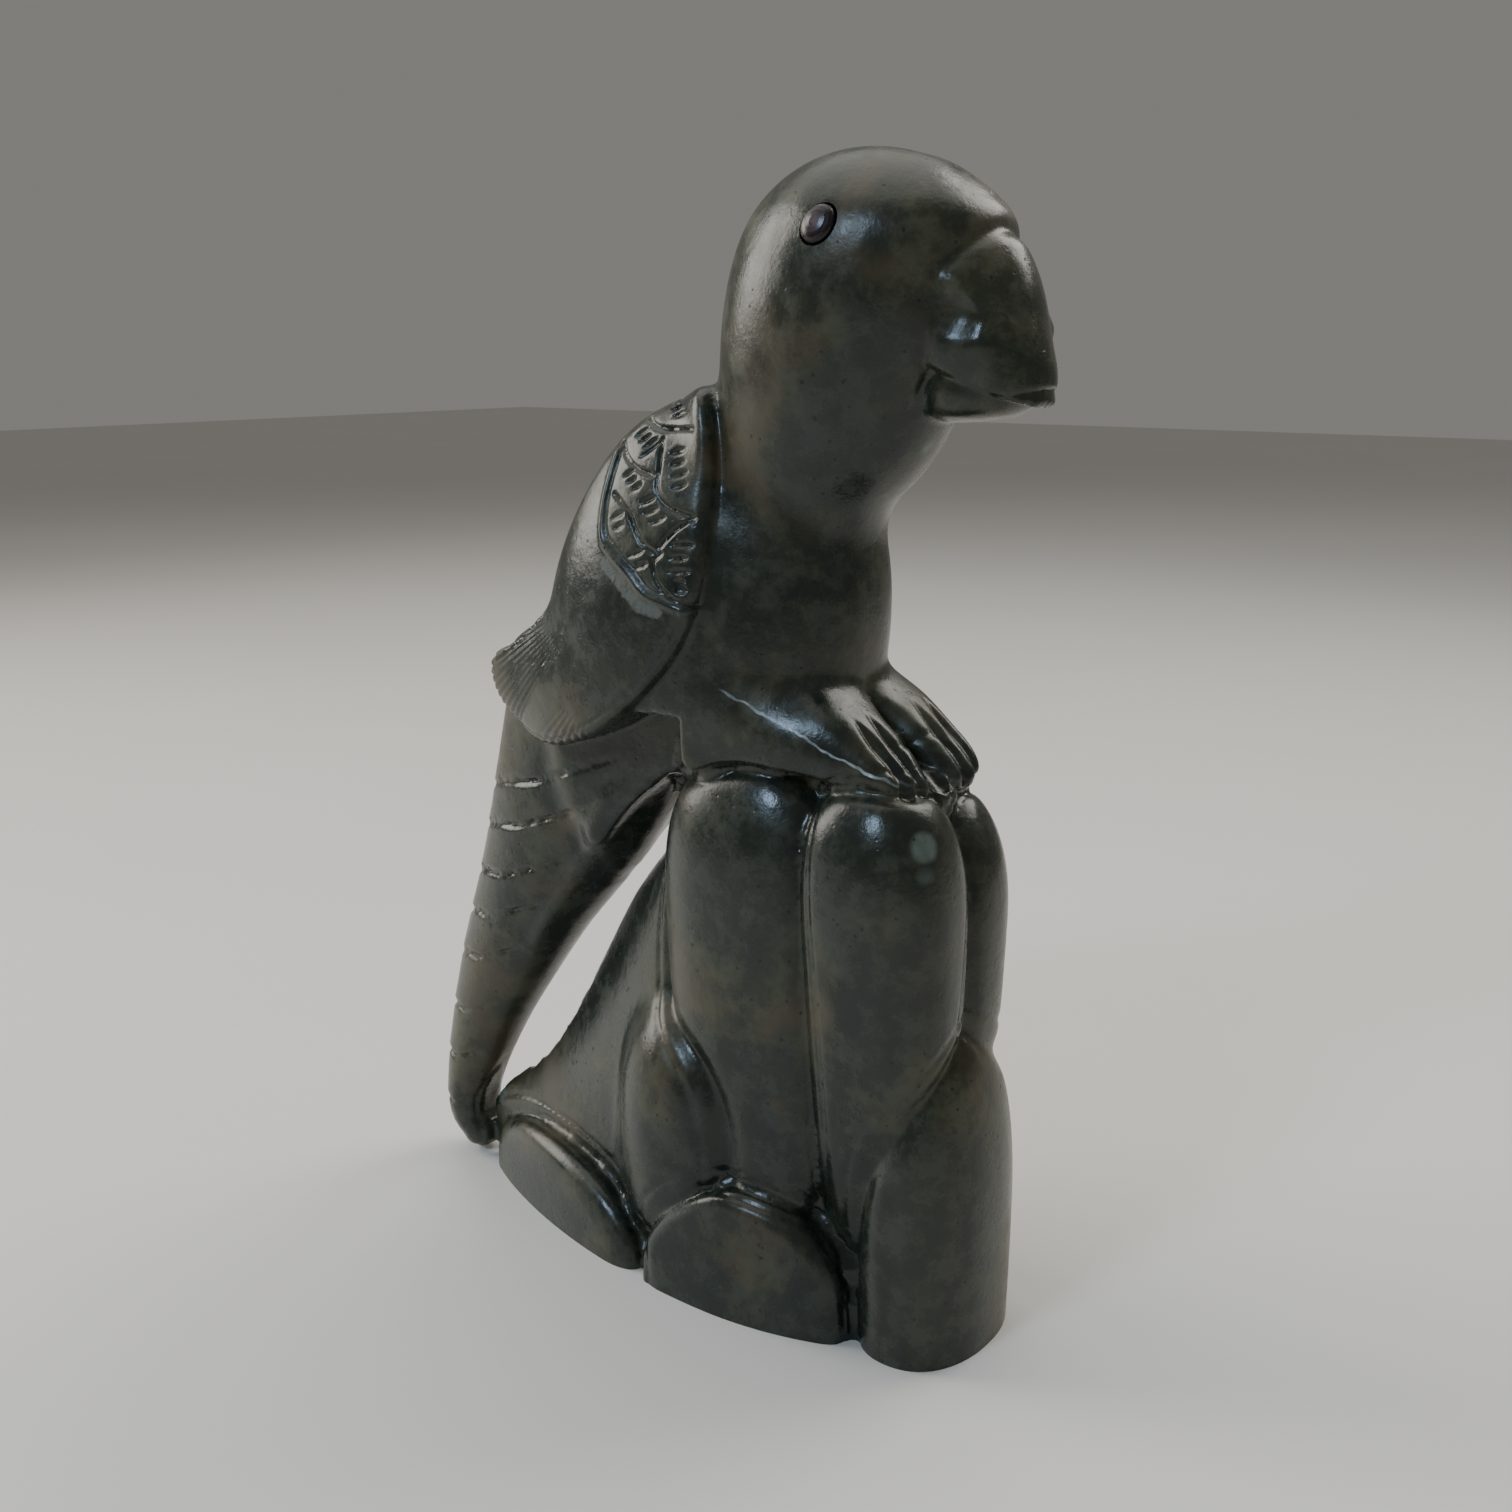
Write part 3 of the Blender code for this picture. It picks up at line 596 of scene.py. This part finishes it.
# %% The tail's bands
# Where each band crosses the tail, as its height above a slanting line, and the slant
TAIL_BANDS = (106.0, 97.8, 88.3, 80.0, 71.3, 59.6, 48.6, 37.5)
BAND_SLANT = 0.37
BAND_DIP = 2.0
BAND_WIDTH, BAND_DEPTH = 0.6, 0.85
# The lip above each cut, and how far up it fades
LIP_HEIGHT, LIP_FADE = 0.28, 2.0
# Across the tail, 0 is its middle and 1 its front edge: where the bands fade out, and the low ridge
BAND_FADE = (0.3, 0.7)
RIDGE_ACROSS, RIDGE_WIDTH, RIDGE_HEIGHT = 0.72, 0.1, 0.7
RIDGE_START, RIDGE_END = (50.0, 62.0), (92.0, 98.0)


def tail_detail(half):
    flat = side_view(half)
    line = smooth_line(TAIL)
    nearest = np.full(len(flat), np.inf)
    across = np.zeros(len(flat))
    for start, end in zip(line, line[1:]):
        along = (end - start)[:2]
        t = np.clip((flat - start[:2]) @ along / (along @ along), 0.0, 1.0)
        offset = flat - start[:2] - t[:, None] * along
        away = np.linalg.norm(offset, axis=1)
        forward = offset @ (-along[1], along[0]) / np.linalg.norm(along)
        deep = start[2] + t * (end[2] - start[2])
        closer = away < nearest
        nearest = np.where(closer, away, nearest)
        across = np.where(closer, forward / deep, across)
    level = flat[:, 1] - BAND_SLANT * flat[:, 0] - BAND_DIP * ramp(-across, 0.05, 0.6)
    height = np.zeros(len(flat))
    for band in TAIL_BANDS:
        away = level - band
        height -= BAND_DEPTH * bell(away, BAND_WIDTH)
        height += LIP_HEIGHT * np.where(away > 0, np.exp(-away / LIP_FADE), 0.0) * ramp(away, 0.0, 0.8)
    height *= 1.0 - ramp(across, *BAND_FADE)
    ridge = ramp(flat[:, 1], *RIDGE_START) * (1 - ramp(flat[:, 1], *RIDGE_END))
    return height + RIDGE_HEIGHT * bell(across - RIDGE_ACROSS, RIDGE_WIDTH) * ridge


# %% [markdown]
# ### The face
#
# A crease parts the beak from the cheek and runs down to the corner of the mouth. Above the beak it
# is deeper and makes a brow. The nostril is a soft hollow under a ridge, with a round knob in front.

# %% The face's lines
NOSTRIL, NOSTRIL_WIDTH, NOSTRIL_DEPTH = (-11.4, 57.4, 181.4), 2.8, 1.9
KNOB, KNOB_WIDTH, KNOB_HEIGHT = (-9.7, 61.2, 177.0), 2.3, 1.0
NOSTRIL_RIDGE = ((-11.2, 56.0, 186.6), (-10.2, 59.4, 183.7), (-9.0, 61.8, 181.3), (-7.0, 64.0, 179.3))
NOSTRIL_RIDGE_WIDTH, NOSTRIL_RIDGE_HEIGHT = 1.5, 0.7
# The crease: its width, and its depth on the cheek and the further depth at the brow, with their heights
FACE_SEAM_WIDTH = 0.9
CHEEK_SEAM, BROW_SEAM = (0.35, 164.0, 168.0), (0.65, 186.0, 192.0)


def face_detail(half):
    places = half * (1.0, -1.0, 1.0)
    depth = sum(deep * ramp(half[:, 2], low, high) for deep, low, high in (CHEEK_SEAM, BROW_SEAM))
    height = -depth * bell(beak(half) - head(half), FACE_SEAM_WIDTH)
    height += groove(places, smooth_line(NOSTRIL_RIDGE), NOSTRIL_RIDGE_WIDTH, -NOSTRIL_RIDGE_HEIGHT)
    height -= NOSTRIL_DEPTH * bell(np.linalg.norm(places - NOSTRIL, axis=1), NOSTRIL_WIDTH)
    return height + KNOB_HEIGHT * bell(np.linalg.norm(places - KNOB, axis=1), KNOB_WIDTH)


# %% [markdown]
# ### The feet
#
# Each foot is one sloping mass. Straight cuts part its toes, and the deepest cut parts the feet.

# %% The toes
# Down the foot from its centre: how far a cut takes to reach its depth, and where it fades out
TOE_CUT_RAMP = 8.0
TOE_CUT_END = (12.5, 14.5)
# A cut grows to its depth between these heights over the foot's middle, so it stays on top
TOE_TOP = (-1.0, 1.5)


def toe_detail(half):
    centre, _, lean = FOOT
    slope = math.radians(lean)
    ahead, up = -half[:, 1] - centre[1], half[:, 2] - centre[2]
    down = ahead * math.cos(slope) - up * math.sin(slope)
    above = ahead * math.sin(slope) + up * math.cos(slope)
    height = np.zeros(len(half))
    for across, width, depth, start in TOE_CUTS:
        length = ramp(down, start, start + TOE_CUT_RAMP) * (1.0 - ramp(down, *TOE_CUT_END))
        height -= depth * length * bell(half[:, 0] - across, width * (0.4 + 0.6 * length))
    return height * ramp(above, *TOE_TOP)


# %% The stone's form
# Detail is worked out only this near the plain form, and in its own box of x, y and z
DETAIL_REACH = 3.0
DETAILS = (
    (wing_detail, (-28, -24, 100), (-3, 52, 172)),
    (tail_detail, (-16, 0, 0), (0.1, 80, 108)),
    (face_detail, (-16, -72, 162), (0.1, -46, 200)),
    (toe_detail, (-17, -56, 98), (0.1, -26, 126)),
)


def stone(points):
    half = mirrored(points)
    form = seamed(bird(half), rock(points), CREASE)
    skin = np.abs(form) < DETAIL_REACH
    half = half[skin]
    height = np.zeros(len(half))
    for detail, low, high in DETAILS:
        near = np.all((half > low) & (half < high), axis=1)
        height[near] += detail(half[near])
    form[skin] -= height
    return form


# %% [markdown]
# ## From form to mesh
#
# A form has no surface to render. Square bars fill it first. A voxel remesh fuses them into one even
# skin, and each point of that skin is moved onto the form along its slope. Doing this twice, the
# second time finer, leaves an even mesh with no seams. A decimate then keeps triangles where the
# carving needs them.

# %% From bars to skin
BAR = 2.5
ROUGH, FINE = 1.7, 0.6
TRIANGLES_KEPT = 190_000
# For each voxel's size: how far a point may move onto the form, and how far out of its neighbours' middle
MOST_MOVE, FARTHEST_OUT = 1.2, 0.45


def slope_of(form, points, step=0.05):
    """Which way, and how steeply, the form's distance grows at each point."""
    corners = np.array([(1, -1, -1), (-1, 1, -1), (-1, -1, 1), (1, 1, 1)], float)
    return sum(corner * form(points + step * corner)[:, None] for corner in corners) / (4 * step)


def settle(form, points, rounds, most=2.0):
    """The points moved onto the form's surface, each along its own first slope and no farther than most."""
    slope = slope_of(form, points)
    steep = np.maximum(np.linalg.norm(slope, axis=1), 0.3)
    toward = slope / steep[:, None]
    moved = np.zeros(len(points))
    for _ in range(rounds):
        moved = np.clip(moved + form(points - moved[:, None] * toward) / steep, -most, most)
    return points - moved[:, None] * toward


def bar_block(form, low, high, pitch):
    """Square bars along Y wherever the form is solid, as a first rough block."""
    x, y, z = (np.arange(a, b, pitch) for a, b in zip(low, high))
    grid = np.stack(np.meshgrid(x, y, z, indexing="ij"), axis=-1)
    solid = (form(grid.reshape(-1, 3)) < -0.3 * pitch).reshape(grid.shape[:3])
    block = bmesh.new()
    for i, k in np.argwhere(solid.any(axis=1)):
        run = np.flatnonzero(np.diff(np.concatenate([[0], solid[i, :, k].astype(int), [0]])))
        for start, end in zip(run[::2], run[1::2]):
            middle = Vector((x[i], (y[start] + y[end - 1]) / 2, z[k]))
            size = Vector((1.1 * pitch, (end - start) * pitch, 1.1 * pitch))
            bmesh.ops.create_cube(block, matrix=Matrix.LocRotScale(middle, None, size))
    return block


def with_modifier(obj, kind, **settings):
    """The object's mesh as a modifier leaves it."""
    modifier = obj.modifiers.new(kind, kind)
    for name, value in settings.items():
        setattr(modifier, name, value)
    made = bpy.data.meshes.new_from_object(obj.evaluated_get(bpy.context.evaluated_depsgraph_get()))
    obj.modifiers.remove(modifier)
    obj.data = made


def relaxed(obj, places, farthest):
    """Points that stand farther than this out of their neighbours' middle, moved back to it."""
    ends = np.empty(2 * len(obj.data.edges), int)
    obj.data.edges.foreach_get("vertices", ends)
    ends = np.concatenate([ends.reshape(-1, 2), ends.reshape(-1, 2)[:, ::-1]])
    count = np.bincount(ends[:, 0], minlength=len(places))[:, None]
    for _ in range(3):
        sums = [np.bincount(ends[:, 0], places[ends[:, 1], axis], len(places)) for axis in range(3)]
        middle = np.stack(sums, axis=1) / count
        out = np.linalg.norm(places - middle, axis=1) > farthest
        places[out] = middle[out]
    return places


def settled(obj, form, rounds, most, farthest):
    places = np.empty(len(obj.data.vertices) * 3)
    obj.data.vertices.foreach_get("co", places)
    places = relaxed(obj, settle(form, places.reshape(-1, 3), rounds, most), farthest)
    obj.data.vertices.foreach_set("co", places.ravel())
    obj.data.update()


# %% A finer skin where the carving is small
# Boxes round the small carving: (side, ahead, up) of two corners, on the bird's right
FINE_BOXES = (
    ((-26, -9, 130), (-8, 16, 170)),
    ((-26, -46, 103), (-8, -6, 130)),
    ((-17, 44, 163), (0, 72, 199)),
    ((-24, 31, 189), (-10, 43, 202)),
    ((-15, 28, 102), (0, 54, 124)),
)
FINE_OUT = 0.35


def refined(obj, form, boxes):
    """Halves the mesh's squares in the boxes and moves the new points onto the form."""
    mesh = bmesh.new()
    mesh.from_mesh(obj.data)
    centres = np.array([face.calc_center_median() for face in mesh.faces])
    centres = mirrored(centres) * (1.0, -1.0, 1.0)
    chosen = np.zeros(len(centres), bool)
    for low, high in boxes:
        chosen |= np.all((centres > low) & (centres < high), axis=1)
    mesh.faces.ensure_lookup_table()
    edges = {edge for index in np.flatnonzero(chosen) for edge in mesh.faces[index].edges}
    first_new = len(mesh.verts)
    bmesh.ops.subdivide_edges(mesh, edges=list(edges), cuts=1, use_grid_fill=True)
    mesh.to_mesh(obj.data)
    mesh.free()
    places = np.empty(len(obj.data.vertices) * 3)
    obj.data.vertices.foreach_get("co", places)
    places = places.reshape(-1, 3)
    near = mirrored(places) * (1.0, -1.0, 1.0)
    moving = np.zeros(len(places), bool)
    for low, high in boxes:
        moving |= np.all((near > np.subtract(low, 1)) & (near < np.add(high, 1)), axis=1)
    places[moving] = settle(form, places[moving], 3, FINE)
    places = relaxed(obj, places, FINE_OUT * FINE)
    obj.data.vertices.foreach_set("co", places.ravel())
    obj.data.update()
    print("Refined from", first_new, "to", len(places), "points")


# %% The carving's mesh
# The first bars fill this box of x, y and z
BLOCK_LOW, BLOCK_HIGH = (-32, -76, -9), (32, 82, 214)

block = bar_block(stone, BLOCK_LOW, BLOCK_HIGH, BAR)
carving_mesh = bpy.data.meshes.new("Carving")
block.to_mesh(carving_mesh)
block.free()
carving = bpy.data.objects.new("Carving", carving_mesh)
bpy.context.scene.collection.objects.link(carving)
for voxel in (ROUGH, FINE):
    with_modifier(carving, "REMESH", mode="VOXEL", voxel_size=voxel)
    settled(carving, stone, 3, MOST_MOVE * voxel, FARTHEST_OUT * voxel)
refined(carving, stone, FINE_BOXES)
print("The skin has", len(carving.data.vertices), "points")

# %% Fewer triangles
count = 2 * len(carving.data.polygons)
with_modifier(carving, "DECIMATE", ratio=min(1.0, TRIANGLES_KEPT / count), use_collapse_triangulate=True)
print("From", count, "triangles to", len(carving.data.polygons))

# %% The flat base, and real sizes
SHARP_ANGLE = 60.0

cut = bmesh.new()
cut.from_mesh(carving.data)
found = bmesh.ops.bisect_plane(cut, geom=[*cut.verts, *cut.edges, *cut.faces], dist=1e-4,
                               plane_co=(0, 0, 0), plane_no=(0, 0, -1), clear_outer=True)
rim = [edge for edge in found["geom_cut"] if isinstance(edge, bmesh.types.BMEdge)]
bmesh.ops.contextual_create(cut, geom=rim)
bmesh.ops.recalc_face_normals(cut, faces=cut.faces)
cut.to_mesh(carving.data)
cut.free()

places = np.empty(len(carving.data.vertices) * 3)
carving.data.vertices.foreach_get("co", places)
places = places.reshape(-1, 3)
part = cad_box[1][2] / PARTS_IN_HEIGHT
middle_shift = (places[:, 1].min() + places[:, 1].max()) / 2
places[:, 1] -= middle_shift
places = np.clip(places * part, cad_box[0], cad_box[1])
carving.data.vertices.foreach_set("co", places.ravel())
carving.data.shade_smooth()
carving.data.set_sharp_from_angle(angle=math.radians(SHARP_ANGLE))
print("The carving has", len(carving.data.polygons), "faces")

# %% [markdown]
# ## Where the stone is rough
#
# Under the rim of the feather patch the carver's tool left chips that were never polished away. How
# worn each point is goes into the mesh as an attribute, for the finish to read.

# %% Worn stone
# The chips follow the middle of the patch's rim, this far outside it as (ahead, up)
CHIPPED_RIM = PATCH_RIM[3:7]
CHIPPED_SHIFT = (-1.6, -1.8)
# They fade out between these distances from that line and these places across, above a height
CHIPPED_NEAR, CHIPPED_SIDE, CHIPPED_ABOVE = (0.4, 2.4), (-19.0, -15.0), 128


def worn(points):
    """1 where the stone is chipped under the feather patch, 0 where it is polished."""
    half = mirrored(points)
    away = gap(side_view(half), smooth_line(np.add(CHIPPED_RIM, CHIPPED_SHIFT), ROUND))
    outer = (1.0 - ramp(half[:, 0], *CHIPPED_SIDE)) * (half[:, 2] > CHIPPED_ABOVE)
    return (1.0 - ramp(away, *CHIPPED_NEAR)) * outer


unscaled = places / part
unscaled[:, 1] += middle_shift
carving.data.attributes.new("worn", "FLOAT", "POINT").data.foreach_set("value", worn(unscaled))
print("Worn points:", int((worn(unscaled) > 0.5).sum()))

# %% [markdown]
# ## The sockets
#
# Each eye sits in a socket with a narrow gap round it. The socket is cut by a slightly larger copy of
# the eye itself.

# %% The sockets
EYES = ("eye_right", "eye_left")
SOCKET_GAP = 0.00045

for name in EYES:
    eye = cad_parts[name]
    cutter = bpy.data.objects.new(name + "_cutter", eye.data.copy())
    bpy.context.scene.collection.objects.link(cutter)
    low, high = (Vector(corner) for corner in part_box(name))
    middle = (low + high) / 2
    grow = 1.0 + 2 * SOCKET_GAP / (high - low).z
    cutter.data.transform(Matrix.Translation(middle) @ Matrix.Scale(grow, 4) @ Matrix.Translation(-middle))
    bpy.context.view_layer.update()
    with_modifier(carving, "BOOLEAN", operation="DIFFERENCE", solver="EXACT", object=cutter)
    bpy.data.objects.remove(cutter)
print("After the sockets:", len(carving.data.polygons), "faces")

# %% [markdown]
# ## Shader maths
#
# Materials here are written as sums. A Wire stands for one output of a node, so 1 - mask adds a Math
# node and gives the next wire. Every other node comes from one method.

# %% Wires
class Wire:
    """One output of a node in a material, or just the material's tree when it has no socket."""

    def __init__(self, tree, socket=None):
        self.tree = tree
        self.socket = socket

    def node(self, kind, settings, inputs, output=0):
        """A new node's output. Its settings come first, then its sockets' values or wires."""
        made = self.tree.nodes.new(kind)
        for name, value in settings.items():
            setattr(made, name, value)
        for name, value in inputs.items():
            if isinstance(value, Wire):
                self.tree.links.new(value.socket, made.inputs[name])
            else:
                made.inputs[name].default_value = value
        return Wire(self.tree, made.outputs[output])

    def maths(self, operation, first, second):
        return self.node("ShaderNodeMath", {"operation": operation}, {0: first, 1: second})

    def __add__(self, other):
        return self.maths("ADD", self, other)

    __radd__ = __add__

    def __sub__(self, other):
        return self.maths("SUBTRACT", self, other)

    def __rsub__(self, other):
        return self.maths("SUBTRACT", other, self)

    def __mul__(self, other):
        return self.maths("MULTIPLY", self, other)

    __rmul__ = __mul__


def fresh_material(name):
    made = bpy.data.materials.new(name)
    made.use_nodes = True
    return made, Wire(made.node_tree), made.node_tree.nodes["Principled BSDF"]


def plug(wire, shader, name):
    wire.tree.links.new(wire.socket, shader.inputs[name])


def mixed(share, first, second):
    """A colour between two others."""
    return share.node("ShaderNodeMix", {"data_type": "RGBA"}, {0: share, 6: first, 7: second}, output=2)


def between(wire, low, high):
    """0 below low, 1 above high, and smooth in between."""
    return wire.node("ShaderNodeMapRange", {"interpolation_type": "SMOOTHSTEP"},
                     {"Value": wire, "From Min": low, "From Max": high})


def noise(where, scale, detail=3.0, rough=0.5, warp=0.0):
    """Clouds from 0 to 1 at each place. The scale is how many there are in about a metre."""
    inputs = {"Vector": where, "Scale": scale, "Detail": detail, "Roughness": rough, "Distortion": warp}
    return where.node("ShaderNodeTexNoise", {}, inputs)


def speckles(where, scale, size, soft, share):
    """Round spots: one in some of the cells of a scattered pattern."""
    cell = {"Vector": where, "Scale": scale, "Randomness": 1.0}
    away = where.node("ShaderNodeTexVoronoi", {}, cell, output=0)
    pick = where.node("ShaderNodeTexVoronoi", {}, cell, output=1)
    chosen = where.node("ShaderNodeSeparateColor", {}, {"Color": pick})
    return (1.0 - between(away, size, size + soft)) * between(chosen, 1.0 - share, 1.001 - share)


# %% [markdown]
# ## The stone
#
# The stone is nearly black with a green cast, as serpentine is, clouded with olive and brown and dotted
# with pale round spots and tiny pits. All of it is worked out in the object's own space, so the clouds
# run through the block as they do in a real stone. The polish is good but not perfect, so its roughness
# varies.

# %% The stone's finish
stone_material, tree, shader = fresh_material("Dark green stone")
where = tree.node("ShaderNodeTexCoord", {}, {}, output=3)
big_clouds = between(noise(where, 30.0, 6.0, 0.68, 0.3), 0.44, 0.64)
mottling = between(noise(where, 170.0, 5.0, 0.68), 0.42, 0.66)
grain = between(noise(where, 420.0, 3.0, 0.6), 0.35, 0.75)
fine_grain = noise(where, 1500.0, 2.0, 0.5)
spots = speckles(where, 75.0, 0.14, 0.10, 0.10) * (0.6 + 0.4 * grain)
pits = speckles(where, 520.0, 0.10, 0.12, 0.22)
worn_here = tree.node("ShaderNodeAttribute", {"attribute_name": "worn"}, {}, output=2)
chips = between(worn_here * (0.3 + 1.2 * noise(where, 420.0, 3.0, 0.7)), 0.45, 0.85)
print("Clouds, mottling, grain, spots, pits and chips are ready")

# %% The vein
# A thin pale vein lies in one plane through the belly, on the bird's right. The first two numbers tilt
# the plane forward, and the others are metres
VEIN_FALL, VEIN_RISE, VEIN_HEIGHT, VEIN_WOBBLE = 0.38, 0.925, 0.1171, 0.004
VEIN_HEART, VEIN_EDGE = 0.00010, 0.00030
VEIN_BACK, VEIN_FRONT, VEIN_SIDE = (0.017, 0.021), (0.046, 0.052), (-0.012, -0.008)
# The bird's own zero ahead lies this far from the middle of the carving
ZERO_AHEAD = -0.0031

apart = tree.node("ShaderNodeSeparateXYZ", {}, {"Vector": where})
across, back, up = (Wire(apart.tree, apart.socket.node.outputs[index]) for index in range(3))
ahead = ZERO_AHEAD - back
wobble = noise(where, 90.0, 3.0, 0.6) - 0.5
level = VEIN_FALL * ahead + VEIN_RISE * up - VEIN_HEIGHT + VEIN_WOBBLE * wobble
near = tree.node("ShaderNodeMath", {"operation": "ABSOLUTE"}, {0: level})
vein = 1.0 - between(near, VEIN_HEART, VEIN_EDGE)
vein = vein * between(ahead, *VEIN_BACK) * (1.0 - between(ahead, *VEIN_FRONT))
vein = vein * (1.0 - between(across, *VEIN_SIDE)) * (0.35 + 0.65 * grain)
print("The vein is", 1000 * 2 * VEIN_EDGE, "mm thick")

# %% The stone's colours
green_black = (0.010, 0.0155, 0.012, 1.0)
olive = (0.064, 0.062, 0.029, 1.0)
brown = (0.070, 0.053, 0.030, 1.0)
grey_green = (0.044, 0.054, 0.043, 1.0)
pale_green = (0.15, 0.19, 0.17, 1.0)
vein_white = (0.36, 0.43, 0.46, 1.0)
pit_black = (0.004, 0.005, 0.005, 1.0)
chip_grey = (0.13, 0.15, 0.14, 1.0)
# The stone is more olive toward the beak, the toes and the tip of the tail
BEAK_END, TAIL_END = (0.042, 0.064), (0.045, 0.062)

ends = between(ahead, *BEAK_END) + between(0.0 - ahead, *TAIL_END)
clouds = big_clouds + 0.45 * ends
colour = mixed(clouds * (0.25 + 0.75 * mottling), green_black, olive)
colour = mixed(big_clouds * between(noise(where, 60.0, 3.0), 0.5, 0.7) * 0.7, colour, brown)
colour = mixed(mottling * 0.45, colour, grey_green)
colour = mixed(spots * 0.8, colour, pale_green)
colour = mixed(pits * 0.8, colour, pit_black)
colour = mixed(vein, colour, vein_white)
colour = mixed(chips * 0.45, colour, chip_grey)
plug(colour, shader, "Base Color")

# %% The stone's polish
POLISH = 0.22
STONE_IOR = 1.47
BUMP_STRENGTH, BUMP_DISTANCE = 0.14, 0.0004

plug(POLISH + 0.10 * big_clouds + 0.10 * mottling + 0.12 * pits + 0.35 * chips, shader, "Roughness")
relief = 0.35 * mottling + 0.5 * grain + 0.4 * fine_grain - 1.6 * pits
relief = relief - 5.0 * chips * noise(where, 900.0, 3.0, 0.7)
bump = tree.node("ShaderNodeBump", {},
                 {"Strength": BUMP_STRENGTH, "Distance": BUMP_DISTANCE, "Height": relief})
plug(bump, shader, "Normal")
shader.inputs["IOR"].default_value = STONE_IOR
carving.data.materials.clear()
carving.data.materials.append(stone_material)
print("The stone's material has", len(stone_material.node_tree.nodes), "nodes")

# %% [markdown]
# ## The eyes
#
# The eyes are garnet cabochons: a cloudy greyish purple in the middle, with painted shade at the rim that
# turns it nearly black, for the dark ring round each gem in its socket and the depth seen at its edge.

# %% The garnet
# The painted shade at the gem's rim starts at the first distance from its middle and is full at the second,
# in metres
GARNET_HEART, GARNET_RIM = 0.0013, 0.0027
GARNET_IOR = 1.50
deep_purple = (0.095, 0.042, 0.060, 1.0)
grey_purple = (0.15, 0.080, 0.105, 1.0)
# Nearly black: the colour of the painted shade at the gem's rim
painted_rim_shade = (0.006, 0.002, 0.004, 1.0)

for name in EYES:
    garnet_material, tree, shader = fresh_material("Garnet " + name)
    where = tree.node("ShaderNodeTexCoord", {}, {}, output=3)
    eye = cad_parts[name]
    low, high = (Vector(corner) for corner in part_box(name))
    heart = eye.matrix_world.inverted() @ ((low + high) / 2)
    away = tree.node("ShaderNodeVectorMath", {"operation": "DISTANCE"}, {0: where, 1: heart}, output=1)
    # Painted shade: the colour goes to nearly black toward the gem's rim, for the dark ring round it in its
    # socket
    edge = between(away, GARNET_HEART, GARNET_RIM)
    cloudy = between(noise(where, 700.0, 3.0), 0.35, 0.7)
    inner = mixed(cloudy, deep_purple, grey_purple)
    plug(mixed(edge, inner, painted_rim_shade), shader, "Base Color")
    plug(0.26 + 0.12 * cloudy, shader, "Roughness")
    shader.inputs["IOR"].default_value = GARNET_IOR
    eye.data.materials.clear()
    eye.data.materials.append(garnet_material)
print("The eyes are dressed")

# %% The floor's finish
FLOOR_ROUGHNESS = 0.5

floor_material, tree, shader = fresh_material("Pale floor")
where = tree.node("ShaderNodeTexCoord", {}, {}, output=3)
pale_grey = (0.68, 0.67, 0.645, 1.0)
warm_white = (0.73, 0.72, 0.695, 1.0)
plug(mixed(noise(where, 6.0), pale_grey, warm_white), shader, "Base Color")
shader.inputs["Roughness"].default_value = FLOOR_ROUGHNESS
floor.data.materials.append(floor_material)
print("The floor is dressed")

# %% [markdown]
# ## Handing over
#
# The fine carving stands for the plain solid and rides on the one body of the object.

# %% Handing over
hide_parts("carving")
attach(carving, "root")
bpy.context.view_layer.update()
